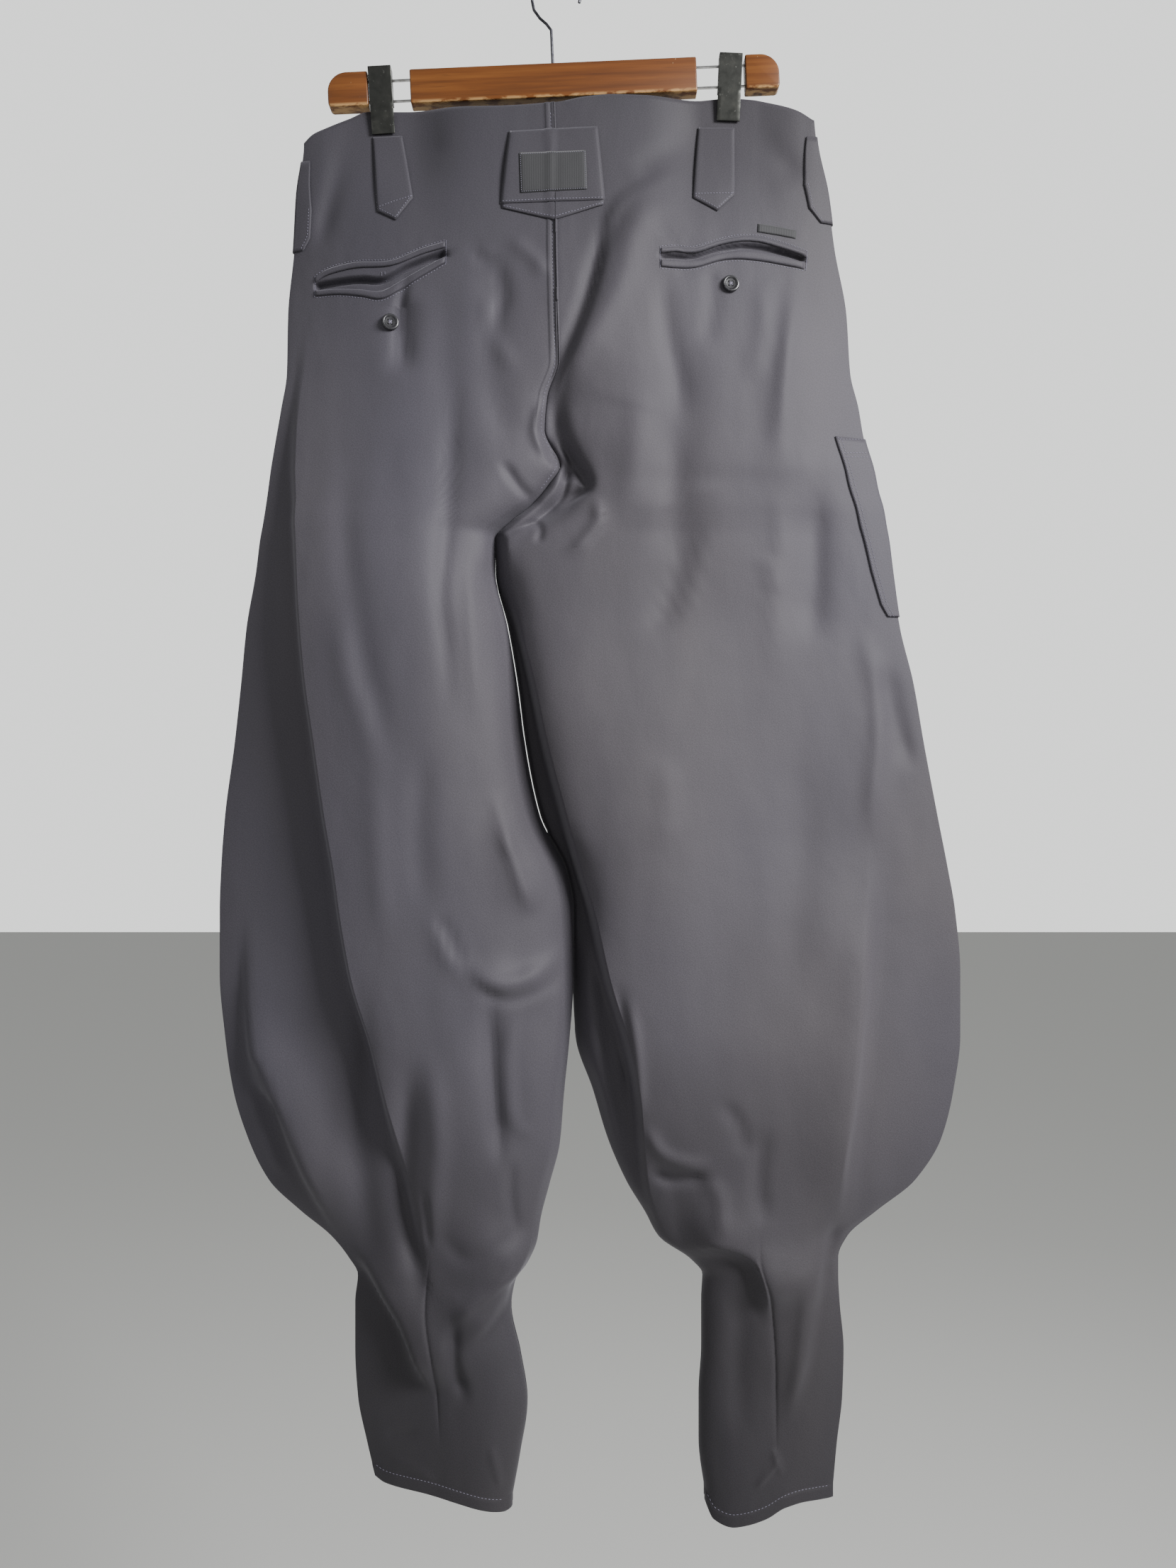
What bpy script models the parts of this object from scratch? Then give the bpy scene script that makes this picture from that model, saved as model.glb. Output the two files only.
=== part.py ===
"""Tobi work trousers, seen from the back, on a wooden clamp hanger.

X runs to the right as the back of the trousers is seen, Y away from the viewer and Z up. The
origin is the top of the inside of the hook. Tables and sizes are in millimetres.
"""
import math

import bmesh
import bpy
import numpy as np
from mathutils import Matrix, Vector
from mathutils.bvhtree import BVHTree

MM = 0.001

# Cloth
CLOTH = 1.5
SEAM_GAP = 0.3
LAY_GAP = 0.75
WRAP_CLEAR = 0.9
WRAP_TURN = 0.12
HALF_SEAM = SEAM_GAP / 2
EDGE = HALF_SEAM + CLOTH

# Each section of the trousers: its height, the outer seam, main fold and inner edge of the left
# leg, the inner edge, inner fold, wing and outer seam of the right leg, how far the back of each
# leg and the front stand out, and how far the inner edges have closed into two tubes.
SECTION_COLUMNS = (
    "z", "out_l", "fold_l", "in_l", "in_r", "fold_r", "wing_r", "out_r",
    "back_l", "back_r", "front", "close",
)
SECTIONS = (
    (-100, -185, -166, 0, 0, 12, 150, 192, 12, 12, 5, 0.00),
    (-129, -185, -166, 1, 1, 13, 150, 195, 15, 15, 8, 0.00),
    (-164, -190, -172, 2, 2, 14, 152, 203, 19, 19, 11, 0.00),
    (-205, -193, -176, 2, 2, 14, 156, 209, 23, 24, 12, 0.00),
    (-252, -198, -181, 3, 3, 15, 163, 218, 27, 28, 14, 0.00),
    (-297, -199, -184, 4, 4, 15, 170, 221, 28, 29, 14, 0.12),
    (-322, -203, -187, -4, -4, 9, 176, 227, 28, 29, 15, 0.28),
    (-345, -207, -188, -6, -6, 8, 182, 231, 28, 29, 15, 0.42),
    (-369, -211, -188, 5, 5, 16, 188, 238, 28, 28, 15, 0.60),
    (-384, -213, -187, -4, -4, 6, 192, 241, 28, 27, 15, 0.72),
    (-398, -215, -186, -17, -17, -7, 196, 245, 28, 27, 15, 0.84),
    (-410, -217, -186, -33, -33, -25, 200, 247, 29, 26, 16, 0.94),
    (-421, -219, -185, -43, -43, -37, 203, 249, 29, 25, 16, 1.00),
    (-445, -222, -183, -43, -42.5, -37, 210, 252, 30, 24, 16, 1.00),
    (-486, -229, -180, -34, -35, -24, 222, 258, 30, 22, 17, 1.00),
    (-527, -233, -176, -27, -28, -13, 232, 268, 30, 22, 17, 1.00),
    (-573, -238, -169, -21, -22, -3, 236, 276, 30, 22, 18, 1.00),
    (-626, -245, -161, -10, -11, 11, 233, 286, 30, 22, 18, 1.00),
    (-667, -248, -154, 10, 9, 22, 231, 294, 30, 22, 18, 1.00),
    (-696, -249, -150, 15, 14, 31, 228, 299, 30, 22, 18, 1.00),
    (-743, -249, -141, 15, 14, 42, 224, 303, 30, 22, 18, 1.00),
    (-790, -245, -127, 12, 16, 56, 220, 303, 29, 22, 18, 1.00),
    (-830, -239, -117, 8, 29, 64, 216, 298, 28, 21, 18, 1.00),
    (-866, -228, -108, 5, 40, 67, 213, 289, 27, 21, 18, 1.00),
    (-898, -212, -101, -3, 54, 71, 207, 269, 26, 21, 18, 1.00),
    (-921, -188, -96, -9, 68, 78, 200, 240, 25, 21, 17, 1.00),
    (-939, -166, -92, -12, 78, 89, 190, 219, 24, 20, 16, 1.00),
    (-955, -153, -89, -19, 101, 112, 182, 212, 22, 20, 16, 1.00),
    (-968, -146, -87, -28, 111, 122, 180, 212, 20, 20, 16, 1.00),
    (-988, -148, -84, -31, 110, 124, 178, 213, 20, 19, 16, 1.00),
    (-1023, -148, -82, -24, 110, 125, 178, 216, 21, 19, 16, 1.00),
    (-1058, -146, -81, -19, 108, 125, 178, 215, 21, 18, 16, 1.00),
    (-1093, -139, -80, -24, 108, 125, 177, 211, 21, 18, 16, 1.00),
    (-1126, -131, -79, -30, 112, 126, 176, 208, 20, 18, 15, 1.00),
)

# The upper edge at the waist and the lower edges at the hems, as x and z from left to right.
WAIST_EDGE = (
    (-185, -128), (-178, -122), (-169, -118), (-151, -110), (-138, -105), (-106, -105),
    (-47, -107), (2, -104), (23, -100), (43, -98), (77, -98), (106, -97), (130, -95),
    (147, -96), (161, -99), (181, -105), (192, -111),
)
HEM_EDGE_LEFT = ((-134, -1117), (-125, -1120), (-96, -1121), (-68, -1125), (-35, -1133))
HEM_EDGE_RIGHT = (
    (112, -1134), (118, -1144), (130, -1147), (142, -1145), (156, -1141), (171, -1134),
    (187, -1132), (206, -1133),
)
WAIST_FADE = 150
HEM_FADE = 90

# Where the outer seam lies in depth, and how far the inner seams part below the crotch.
SEAM_OUT_DEPTH = 6
SEAM_OUT_FROM, SEAM_OUT_OVER = -110, 140
SEAM_IN_DEPTH = {"left": -4, "right": 6}
SEAM_IN_FROM, SEAM_IN_OVER = -419, 67

# How a section rises from its seams: how quickly, and the share of the width that it takes.
BACK_ROUND = (0.9, 0.85, 0.35)
FRONT_ROUND = (0.7, 0.4, 0.3)
SEAM_FLAT_OUT = 0.05
SEAM_FLAT_IN = 0.04

# The folds of the back: kind, raised side, rise, width of the edge, spread, and the path down
# as points, or as a named line of the sections with its first and last height.
FOLD_COLUMNS = ("name", "kind", "side", "rise", "edge", "spread", "path")
BACK_FOLDS = (
    ("left outer fold", "step", 1, 24, 9, 130, ("fold_l", -265, -985)),
    ("left wing edge", "step", 1, 7, 8, 34, (
        (-223, -690), (-223, -786), (-209, -817), (-181, -886), (-155, -940))),
    ("left thigh trough", "ridge", 1, -3.5, 0, 16, (
        (-77, -228), (-75, -329), (-73, -386), (-71, -499))),
    ("pocket crease", "ridge", 1, -4, 0, 9, ((-110, -244), (-108, -273), (-111, -310))),
    ("seat dimple", "ridge", 1, -3, 0, 12, (
        (-60, -214), (-51, -227), (-42, -258), (-46, -300), (-37, -348), (-33, -372))),
    ("crotch tuck", "ridge", 1, -8, 0, 8, (
        (16, -300), (5, -322), (2, -340), (10, -366), (18, -382), (8, -398), (-12, -412),
        (-38, -430))),
    ("right hip drag", "step", 1, 7, 9, 40, (
        (100, -150), (72, -168), (46, -190), (38, -236), (22, -283), (6, -316), (4, -345))),
    ("right thigh trough", "ridge", 1, -4, 0, 18, (
        (78, -244), (90, -300), (90, -386), (88, -442), (68, -500))),
    ("right hip ridge", "ridge", 1, 3, 0, 22, ((179, -240), (176, -330), (164, -410))),
    ("right hip trough", "ridge", 1, -3, 0, 14, ((192, -380), (190, -442), (188, -505))),
    ("right inner fold", "step", 1, 25, 8, 120, ("fold_r", -398, -945)),
    ("right wing", "step", -1, 9, 18, 80, (
        (232, -640), (225, -721), (217, -807), (211, -869), (210, -940))),
    ("left swag", "ridge", 1, 4, 0, 14, ((-54, -724), (-39, -742), (-20, -748), (5, -740))),
    ("left inner ridge", "ridge", 1, 4, 0, 13, ((-36, -616), (-27, -651), (-14, -700))),
    ("left knee trough", "ridge", 1, -4, 0, 16, ((-43, -756), (-38, -810), (-32, -880))),
    ("left knee swag", "step", 1, 9, 12, 42, (
        (-150, -938), (-116, -978), (-102, -1004), (-90, -1050))),
    ("left knee tuck", "step", -1, 9, 12, 42, (
        (-8, -930), (-31, -961), (-48, -987), (-68, -1010))),
    ("right knee swag", "step", 1, 10, 12, 46, (
        (92, -943), (122, -939), (142, -944), (152, -960), (162, -1000))),
    ("right knee ridge", "step", -1, 5, 12, 30, (
        (206, -934), (194, -957), (188, -993), (176, -1060))),
    ("left clip crease", "ridge", 1, -4, 0, 8, (
        (-140, -112), (-153, -137), (-164, -171), (-175, -212))),
    ("right clip crease", "ridge", 1, -3, 0, 9, ((139, -106), (155, -126), (184, -160))),
)
FRONT_FOLDS = (
    ("left front trough", "ridge", 1, -3, 0, 24, ((-120, -250), (-110, -420), (-90, -640))),
    ("right front trough", "ridge", 1, -3, 0, 24, ((120, -250), (130, -420), (120, -640))),
    ("left front knee", "ridge", 1, -4, 0, 20, ((-150, -900), (-90, -960), (-30, -930))),
    ("right front knee", "ridge", 1, -4, 0, 20, ((80, -930), (140, -965), (205, -920))),
)
FOLD_FADE = 0.22

# The clips: the middle and top of each, and its lean in degrees. Each jaw stands out more at its
# top than at its lower end, and its cheeks reach the rods. Around it the cloth is squeezed flat.
CLIPS = {
    "left": {"x": -127, "top": -74, "lean": -3.2},
    "right": {"x": 130, "top": -64.5, "lean": 2.3},
}
CLIP_WIDTH = 17
CLIP_HEIGHT = 48
CLIP_PLATE = 1.2
CLIP_TOP_DEPTH = 7.7
CLIP_LOW_DEPTH = 3.3
CHEEK_DEPTH = 2
CHEEK_LOW = -2
PINCH_BELOW = 4
PINCH_HALF = 20
PINCH_ACROSS = 26
PINCH_DOWN = 42

# Wooden hanger
TILT = -2.5
BLOCK_LENGTH = 211.6
BLOCK_HEIGHT = 25
BLOCK_DEPTH = 13
BLOCK_CENTRE = -83.5
END_INNER = {"left": 137, "right": 141.8}
END_OUTER = 166.7
END_CORNER = 14
ROD_RADIUS = 1.0
ROD_OFFSET = 7.65
ROD_SINK = 18
BORE_GAP = 0.35
HOOK_WIRE = 1.1
HOOK_RADIUS = 18
HOOK_CENTRE_X = 2
SHANK_SINK = 10

# Buttons
BUTTON_RADIUS = 6.2
BUTTON_HEIGHT = 2.6
BUTTON_HOLLOW = 0.9
BUTTON_BEVEL = 0.8
BUTTON_RIM = 1.0
BUTTON_GAP = 0.5


def smooth(t):
    """Ease from 0 to 1."""
    t = np.clip(t, 0.0, 1.0)
    return t * t * (3 - 2 * t)


def steady(xs, ys, x):
    """A smooth curve through table values that never passes beyond them."""
    xs = np.asarray(xs, float)
    ys = np.asarray(ys, float)
    step = np.diff(xs)
    slope = np.diff(ys) / step
    middle = np.where(slope[:-1] * slope[1:] > 0, 2 * slope[:-1] * slope[1:]
                      / (slope[:-1] + slope[1:] + 1e-12), 0.0)
    tangent = np.concatenate([[slope[0]], middle, [slope[-1]]])
    x = np.clip(x, xs[0], xs[-1])
    cell = np.clip(np.searchsorted(xs, x, side="right") - 1, 0, len(step) - 1)
    t = (x - xs[cell]) / step[cell]
    rise = ys[cell + 1] - ys[cell]
    start = tangent[cell] * step[cell]
    end = tangent[cell + 1] * step[cell]
    return (ys[cell] + t * start + t * t * (3 * rise - 2 * start - end)
            + t ** 3 * (start + end - 2 * rise))


def section(column, z):
    """One column of the section table at the heights z."""
    rows = SECTIONS[::-1]
    index = SECTION_COLUMNS.index(column)
    return steady([row[0] for row in rows], [row[index] for row in rows], z)


def edge_line(edge, x):
    """Height of an edge at x."""
    return steady([p[0] for p in edge], [p[1] for p in edge], x)


def rounded_path(path, parts=5):
    """A path's corners rounded by a curve through its points."""
    points = [np.array(p, float) for p in path]
    points = [2 * points[0] - points[1], *points, 2 * points[-1] - points[-2]]
    out = []
    for a, b, c, d in zip(points, points[1:], points[2:], points[3:]):
        for k in range(parts):
            t = k / parts
            out.append(0.5 * (2 * b + (c - a) * t + (2 * a - 5 * b + 4 * c - d) * t * t
                              + (3 * b - a - 3 * c + d) * t ** 3))
    out.append(points[-2])
    return out


def along(path, x, z):
    """Distance from a path, positive on its right as it runs down, and the share run so far."""
    nearest = np.full(x.shape, 1e9)
    side = np.ones(x.shape)
    share = np.zeros(x.shape)
    lengths = [math.dist(a, b) for a, b in zip(path, path[1:])]
    run = 0.0
    for (ax, az), (bx, bz), length in zip(path, path[1:], lengths):
        ux, uz = (bx - ax) / length, (bz - az) / length
        t = np.clip((x - ax) * ux + (z - az) * uz, 0.0, length)
        dx, dz = x - ax - t * ux, z - az - t * uz
        distance = np.hypot(dx, dz)
        closer = distance < nearest
        side = np.where(closer, dz * ux - dx * uz, side)
        share = np.where(closer, (run + t) / sum(lengths), share)
        nearest = np.where(closer, distance, nearest)
        run += length
    return np.copysign(nearest, side), share


def fold_height(fold, x, z):
    """How far one fold stands out at x and z. It fades at both ends of its path."""
    fold = dict(zip(FOLD_COLUMNS, fold))
    if isinstance(fold["path"][0], str):
        line, first, last = fold["path"]
        distance = x - section(line, z)
        share = (first - z) / (first - last)
    else:
        distance, share = along(rounded_path(fold["path"]), x, z)
    ends = smooth(share / FOLD_FADE) * smooth((1 - share) / FOLD_FADE)
    if fold["kind"] == "step":
        distance = distance * fold["side"]
        profile = smooth(distance / fold["edge"] + 1)
        profile = profile * np.exp(-(np.maximum(distance, 0) / fold["spread"]) ** 2)
    else:
        profile = np.exp(-(distance / fold["spread"]) ** 2)
    return fold["rise"] * ends * profile


def pinch(x, z):
    """1 where a clip squeezes the cloth, falling to 0 around it."""
    total = np.zeros(x.shape)
    for clip in CLIPS.values():
        across = np.maximum(abs(x - clip["x"]) - PINCH_HALF, 0) / PINCH_ACROSS
        below = np.maximum(clip["top"] - CLIP_HEIGHT - PINCH_BELOW - z, 0) / PINCH_DOWN
        total = np.maximum(total, np.exp(-across ** 2 - below ** 2))
    return total


def column_knots(side):
    """Share of the columns at each named line of a leg, from its outer seam inwards."""
    if side == "left":
        return (("out_l", 0), ("fold_l", 0.36), ("in_l", 1))
    return (("out_r", 0), ("wing_r", 0.25), ("fold_r", 0.78), ("in_r", 1))


def panel_plan(side, rows, u):
    """x and z of a leg's panel points, and the share s of its width from the outer seam."""
    left = side == "left"
    z0, u = np.meshgrid(rows, u, indexing="ij")
    top, bottom = SECTIONS[0][0], SECTIONS[-1][0]
    hem = HEM_EDGE_LEFT if left else HEM_EDGE_RIGHT
    waist_share = 1 - smooth((top - z0) / WAIST_FADE)
    hem_share = 1 - smooth((z0 - bottom) / HEM_FADE)
    knots = column_knots(side)
    z = z0
    for _ in range(3):
        ends = [section(name, z) for name, _ in knots]
        x = np.zeros(z.shape)
        for (a, ua), (b, ub), xa, xb in zip(knots, knots[1:], ends, ends[1:]):
            t = np.clip((u - ua) / (ub - ua), 0, 1)
            x = np.where((u >= ua) | (ua == 0), xa + (xb - xa) * (1 - np.cos(np.pi * t)) / 2, x)
        z = z0 + (edge_line(WAIST_EDGE, x) - top) * waist_share
        z = z + (edge_line(hem, x) - bottom) * hem_share
    outer, inner = section(knots[0][0], z), section(knots[-1][0], z)
    s = np.clip((x - outer) / (inner - outer), 0, 1)
    return x, z, s


def seam_plane(side, s, z):
    """Depth of the plane that holds a leg's two seams."""
    outer = SEAM_OUT_DEPTH * smooth((SEAM_OUT_FROM - z) / SEAM_OUT_OVER)
    inner = SEAM_IN_DEPTH[side] * smooth((SEAM_IN_FROM - z) / SEAM_IN_OVER)
    return outer + (inner - outer) * s


def fullness(s, close, rise, outer_share, inner_share):
    """Share of a section's full depth: 0 at the outer seam, and at a closed inner seam."""
    outer = 1 - (1 - np.minimum(s / outer_share, 1)) ** 2
    inner = 1 - (1 - np.minimum((1 - s) / inner_share, 1)) ** 2
    return outer ** rise * (1 - close * (1 - inner ** 0.5))


def panel(side, layer, rows, u):
    """Outer and inner points of one panel, in millimetres."""
    x, z, s = panel_plan(side, rows, u)
    plane = seam_plane(side, s, z)
    close = section("close", z)
    squeeze = 1 - pinch(x, z)
    away = 1 if layer == "front" else -1
    if layer == "back":
        depth = section("back_l" if side == "left" else "back_r", z)
        depth = depth * fullness(s, close, *BACK_ROUND)
        folds = sum(fold_height(fold, x, z) for fold in BACK_FOLDS)
    else:
        depth = section("front", z) * fullness(s, close, *FRONT_ROUND)
        folds = sum(fold_height(fold, x, z) for fold in FRONT_FOLDS)
    seam_fade = smooth(s / SEAM_FLAT_OUT) * (1 - close * (1 - smooth((1 - s) / SEAM_FLAT_IN)))
    depth = np.maximum(depth + folds * seam_fade, 0) * squeeze
    y = plane + away * (EDGE + depth)
    inward = 1 if side == "left" else -1
    x = np.where(s >= 1, x - inward * HALF_SEAM, x)
    outer = np.stack([x, y, z], axis=-1)
    normal = grid_normals(outer, away)
    normal[:, (0, -1)] = (0, away, 0)
    inner = outer - CLOTH * normal
    limit = plane + away * HALF_SEAM
    inner[..., 1] = np.where(away * (inner[..., 1] - limit) < 0, limit, inner[..., 1])
    return outer, inner


def grid_normals(points, away):
    """Unit normals of a grid of points, on the side away (-1 or 1) along Y."""
    across = np.gradient(points, axis=1)
    down = np.gradient(points, axis=0)
    normal = np.cross(across, down)
    normal /= np.linalg.norm(normal, axis=-1, keepdims=True) + 1e-12
    if normal[..., 1].mean() * away < 0:
        normal = -normal
    return normal


def material(name, colour, roughness, metallic=0.0):
    """A plain surface."""
    made = bpy.data.materials.get(name) or bpy.data.materials.new(name)
    made.use_nodes = True
    shader = made.node_tree.nodes["Principled BSDF"]
    shader.inputs["Base Color"].default_value = (*colour, 1)
    shader.inputs["Roughness"].default_value = roughness
    shader.inputs["Metallic"].default_value = metallic
    return made


def add_object(name, mesh, made_of):
    """An object of the trousers with its own material."""
    item = bpy.data.objects.new(name, mesh)
    mesh.materials.clear()
    mesh.materials.append(made_of)
    parts.objects.link(item)
    return item


def wall(name, outer, inner, made_of):
    """A closed wall lofted between two grids of points that face each other."""
    rows, cols = outer.shape[:2]
    count = rows * cols
    faces = []
    for r in range(rows - 1):
        for c in range(cols - 1):
            a, b = r * cols + c, r * cols + c + 1
            d, e = a + cols, b + cols
            faces += [(a, b, e), (a, e, d)]
            faces += [(count + a, count + e, count + b), (count + a, count + d, count + e)]
    rim = list(range(cols))
    rim += [r * cols + cols - 1 for r in range(1, rows)]
    rim += [(rows - 1) * cols + c for c in range(cols - 2, -1, -1)]
    rim += [r * cols for r in range(rows - 2, 0, -1)]
    for a, b in zip(rim, rim[1:] + rim[:1]):
        faces += [(a, count + a, count + b), (a, count + b, b)]
    points = np.concatenate([outer.reshape(-1, 3), inner.reshape(-1, 3)]) * MM
    mesh = bpy.data.meshes.new(name)
    mesh.from_pydata([tuple(p) for p in points], [], faces)
    shaped = bmesh.new()
    shaped.from_mesh(mesh)
    bmesh.ops.recalc_face_normals(shaped, faces=shaped.faces)
    shaped.to_mesh(mesh)
    shaped.free()
    mesh.shade_smooth()
    mesh.set_sharp_from_angle(angle=math.radians(50))
    return add_object(name, mesh, made_of)


def make_panels():
    """The four leg panels: two backs and two fronts."""
    rows = np.array([row[0] for row in SECTIONS], float)
    made = {}
    for side, back_cols in (("left", (8, 14)), ("right", (6, 11, 5))):
        knots = [share for _, share in column_knots(side)]
        spans = zip(knots, knots[1:], back_cols)
        fine = np.concatenate([np.linspace(a, b, n, endpoint=False) for a, b, n in spans] + [[1]])
        coarse = np.concatenate([fine[:-1:2], [1]])
        for layer, u in (("back", fine), ("front", coarse)):
            outer, inner = panel(side, layer, rows, u)
            name = f"{layer}_{side}"
            made[name] = wall(name, outer, inner, CLOTH_SURFACE)
    return made


def tree_of(items):
    """A search tree over the faces of several objects."""
    points, faces = [], []
    for item in items:
        offset = len(points)
        points += [item.matrix_world @ v.co for v in item.data.vertices]
        faces += [[offset + i for i in face.vertices] for face in item.data.polygons]
    return BVHTree.FromPolygons(points, faces)


def depth_on(tree, x, z, away):
    """Depth of the outermost surface at x and z, looking from the side away along Y."""
    start = Vector((x * MM, away * 0.3, z * MM))
    hit = tree.ray_cast(start, Vector((0, -away, 0)))[0]
    return None if hit is None else hit.y / MM


def lay(name, on, upper, lower, made_of, steps=3, rows=4, stand=0.0, away=-1, thick=CLOTH):
    """A patch between an upper and a lower edge, lying on other pieces."""
    tree = tree_of(on)
    stations = np.linspace(0, len(upper) - 1, steps * (len(upper) - 1) + 1)
    index = np.arange(len(upper))
    edges = [np.stack([np.interp(stations, index, [p[k] for p in edge]) for k in (0, 1)], -1)
             for edge in (upper, lower)]
    share = np.linspace(0, 1, rows + 1)
    flat = edges[0][None] + (edges[1] - edges[0])[None] * share[:, None, None]
    points = np.zeros((*flat.shape[:2], 3))
    for r, c in np.ndindex(*flat.shape[:2]):
        x, z = flat[r, c]
        lift = LAY_GAP + stand * math.sin(math.pi * share[r])
        points[r, c] = (x, depth_on(tree, x, z, away) + away * lift, z)
    outer = points + thick * grid_normals(points, away)
    return wall(name, outer, points, made_of)


def wrap(name, panels, side, spans, made_of):
    """A piece that lies over the outer seam. Each span is z, width on the back and on the front."""
    sign = -1 if side == "left" else 1
    column = "out_l" if side == "left" else "out_r"
    back, front = tree_of([panels["back_" + side]]), tree_of([panels["front_" + side]])
    spans = np.array(spans, float)
    rows = []
    for z, width_back, width_front in spans:
        seam = float(section(column, np.array(z)))
        plane = float(seam_plane(side, np.array(0.0), np.array(z)))
        row = []
        for share in np.linspace(1, WRAP_TURN, 4):
            x = seam - sign * width_back * share
            y = depth_on(back, x, z, -1) - LAY_GAP
            row.append((x, min(y, plane - EDGE - LAY_GAP), z))
        row.append((seam + sign * WRAP_CLEAR, plane - EDGE - LAY_GAP, z))
        row.append((seam + sign * WRAP_CLEAR, plane + EDGE + LAY_GAP, z))
        for share in np.linspace(WRAP_TURN, 1, 5):
            x = seam - sign * width_front * share
            y = depth_on(front, x, z, 1) + LAY_GAP
            row.append((x, max(y, plane + EDGE + LAY_GAP), z))
        rows.append(row)
    points = np.array(rows)
    normal = np.cross(np.gradient(points, axis=1), np.gradient(points, axis=0))
    normal /= np.linalg.norm(normal, axis=-1, keepdims=True)
    if normal[0, 0, 1] > 0:
        normal = -normal
    return wall(name, points + CLOTH * normal, points, made_of)


def make_loops(panels):
    """The belt loops: a wide one with a pointed tab and a patch, and three pairs."""
    backs = [panels["back_left"], panels["back_right"]]
    centre = lay("loop_centre", backs, ((-32, -128), (0, -126), (32.5, -124.5)),
                 ((-37.5, -182), (0, -181), (37.5, -179.5)), CLOTH_SURFACE, steps=4, rows=5,
                 stand=1.6)
    lay("loop_centre_tab", backs, ((-37.4, -183), (1.4, -182), (37.4, -180.4)),
        ((-36.5, -185), (1.4, -193), (36.5, -182.2)), CLOTH_SURFACE, steps=4, rows=2)
    lay("patch_centre", [centre], ((-24.5, -145.2), (0, -144), (24, -143)),
        ((-23.5, -175), (0, -173.8), (25, -172.4)), PATCH_SURFACE, steps=3, rows=3, thick=0.8)
    lay("loop_back_left", backs, ((-134, -125), (-123, -124.5), (-112.2, -124)),
        ((-129, -183), (-115, -190), (-103, -174)), CLOTH_SURFACE, steps=2, rows=6, stand=1)
    lay("loop_back_right", backs, ((107, -118), (120.5, -118), (133.8, -117.8)),
        ((102.3, -174.7), (120, -184), (132.5, -171.5)), CLOTH_SURFACE, steps=2, rows=6, stand=1)
    wrap("loop_side_left", panels, "left", (
        (-142, 6, 18), (-160, 9, 16), (-178, 12, 14), (-198, 12, 13), (-207, 7, 9)),
        CLOTH_SURFACE)
    wrap("loop_side_right", panels, "right", (
        (-124, 7, 18), (-142, 12, 15), (-160, 17, 12), (-177, 16, 10), (-187, 8, 7)),
        CLOTH_SURFACE)
    for side, sign in (("left", -1), ("right", 1)):
        lay(f"loop_front_{side}", [panels["front_" + side]],
            ((sign * 78, -122), (sign * 66, -122)), ((sign * 80, -180), (sign * 66, -180)),
            CLOTH_SURFACE, steps=3, rows=5, stand=1, away=1)


def make_pockets(panels):
    """Two welted back pockets and the tool pocket over the right side seam."""
    left, right = [panels["back_left"]], [panels["back_right"]]
    lay("pocket_left_upper", left,
        ((-176, -228), (-166, -223), (-145, -220), (-118, -221), (-96, -213.5), (-78, -209)),
        ((-176, -232), (-166, -227), (-145, -224), (-118, -225), (-96, -217.5), (-78, -213)),
        CLOTH_SURFACE, steps=2, rows=1)
    lay("pocket_left_lower", left,
        ((-176, -238), (-157, -239), (-140, -241), (-124, -243), (-104, -233), (-78, -220)),
        ((-176, -242), (-157, -243), (-140, -246), (-124, -249), (-104, -239), (-78, -225)),
        CLOTH_SURFACE, steps=2, rows=1)
    lay("pocket_right_upper", right,
        ((78, -216), (89, -214), (104, -213.5), (126, -205), (151, -202), (187, -210)),
        ((78, -220), (89, -218), (104, -217.5), (126, -209), (151, -206), (187, -214)),
        CLOTH_SURFACE, steps=2, rows=1)
    lay("pocket_right_lower", right,
        ((78, -224.5), (89, -223.5), (104, -222), (126, -214.5), (151, -212.5), (185, -217)),
        ((78, -230), (89, -230), (104, -228.5), (126, -221), (151, -220), (185, -223)),
        CLOTH_SURFACE, steps=2, rows=1)
    lay("tab_right", right, ((150, -192), (179, -195)), ((149.5, -198.4), (178.5, -201)),
        PATCH_SURFACE, steps=3, rows=1, thick=0.8)
    wrap("pocket_tool", panels, "right", (
        (-346, 23, 112), (-378, 22, 112), (-412, 20, 112), (-445, 16, 112), (-469, 12, 110),
        (-478, 8, 100)), CLOTH_SURFACE)


def make_fly(panels):
    """The fly's placket, on the front."""
    fronts = [panels["front_left"], panels["front_right"]]
    lay("fly_placket", fronts, ((3, -116), (18, -116), (36, -116)),
        ((6, -300), (22, -296), (34, -278)), CLOTH_SURFACE, steps=2, rows=8, away=1)


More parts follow.
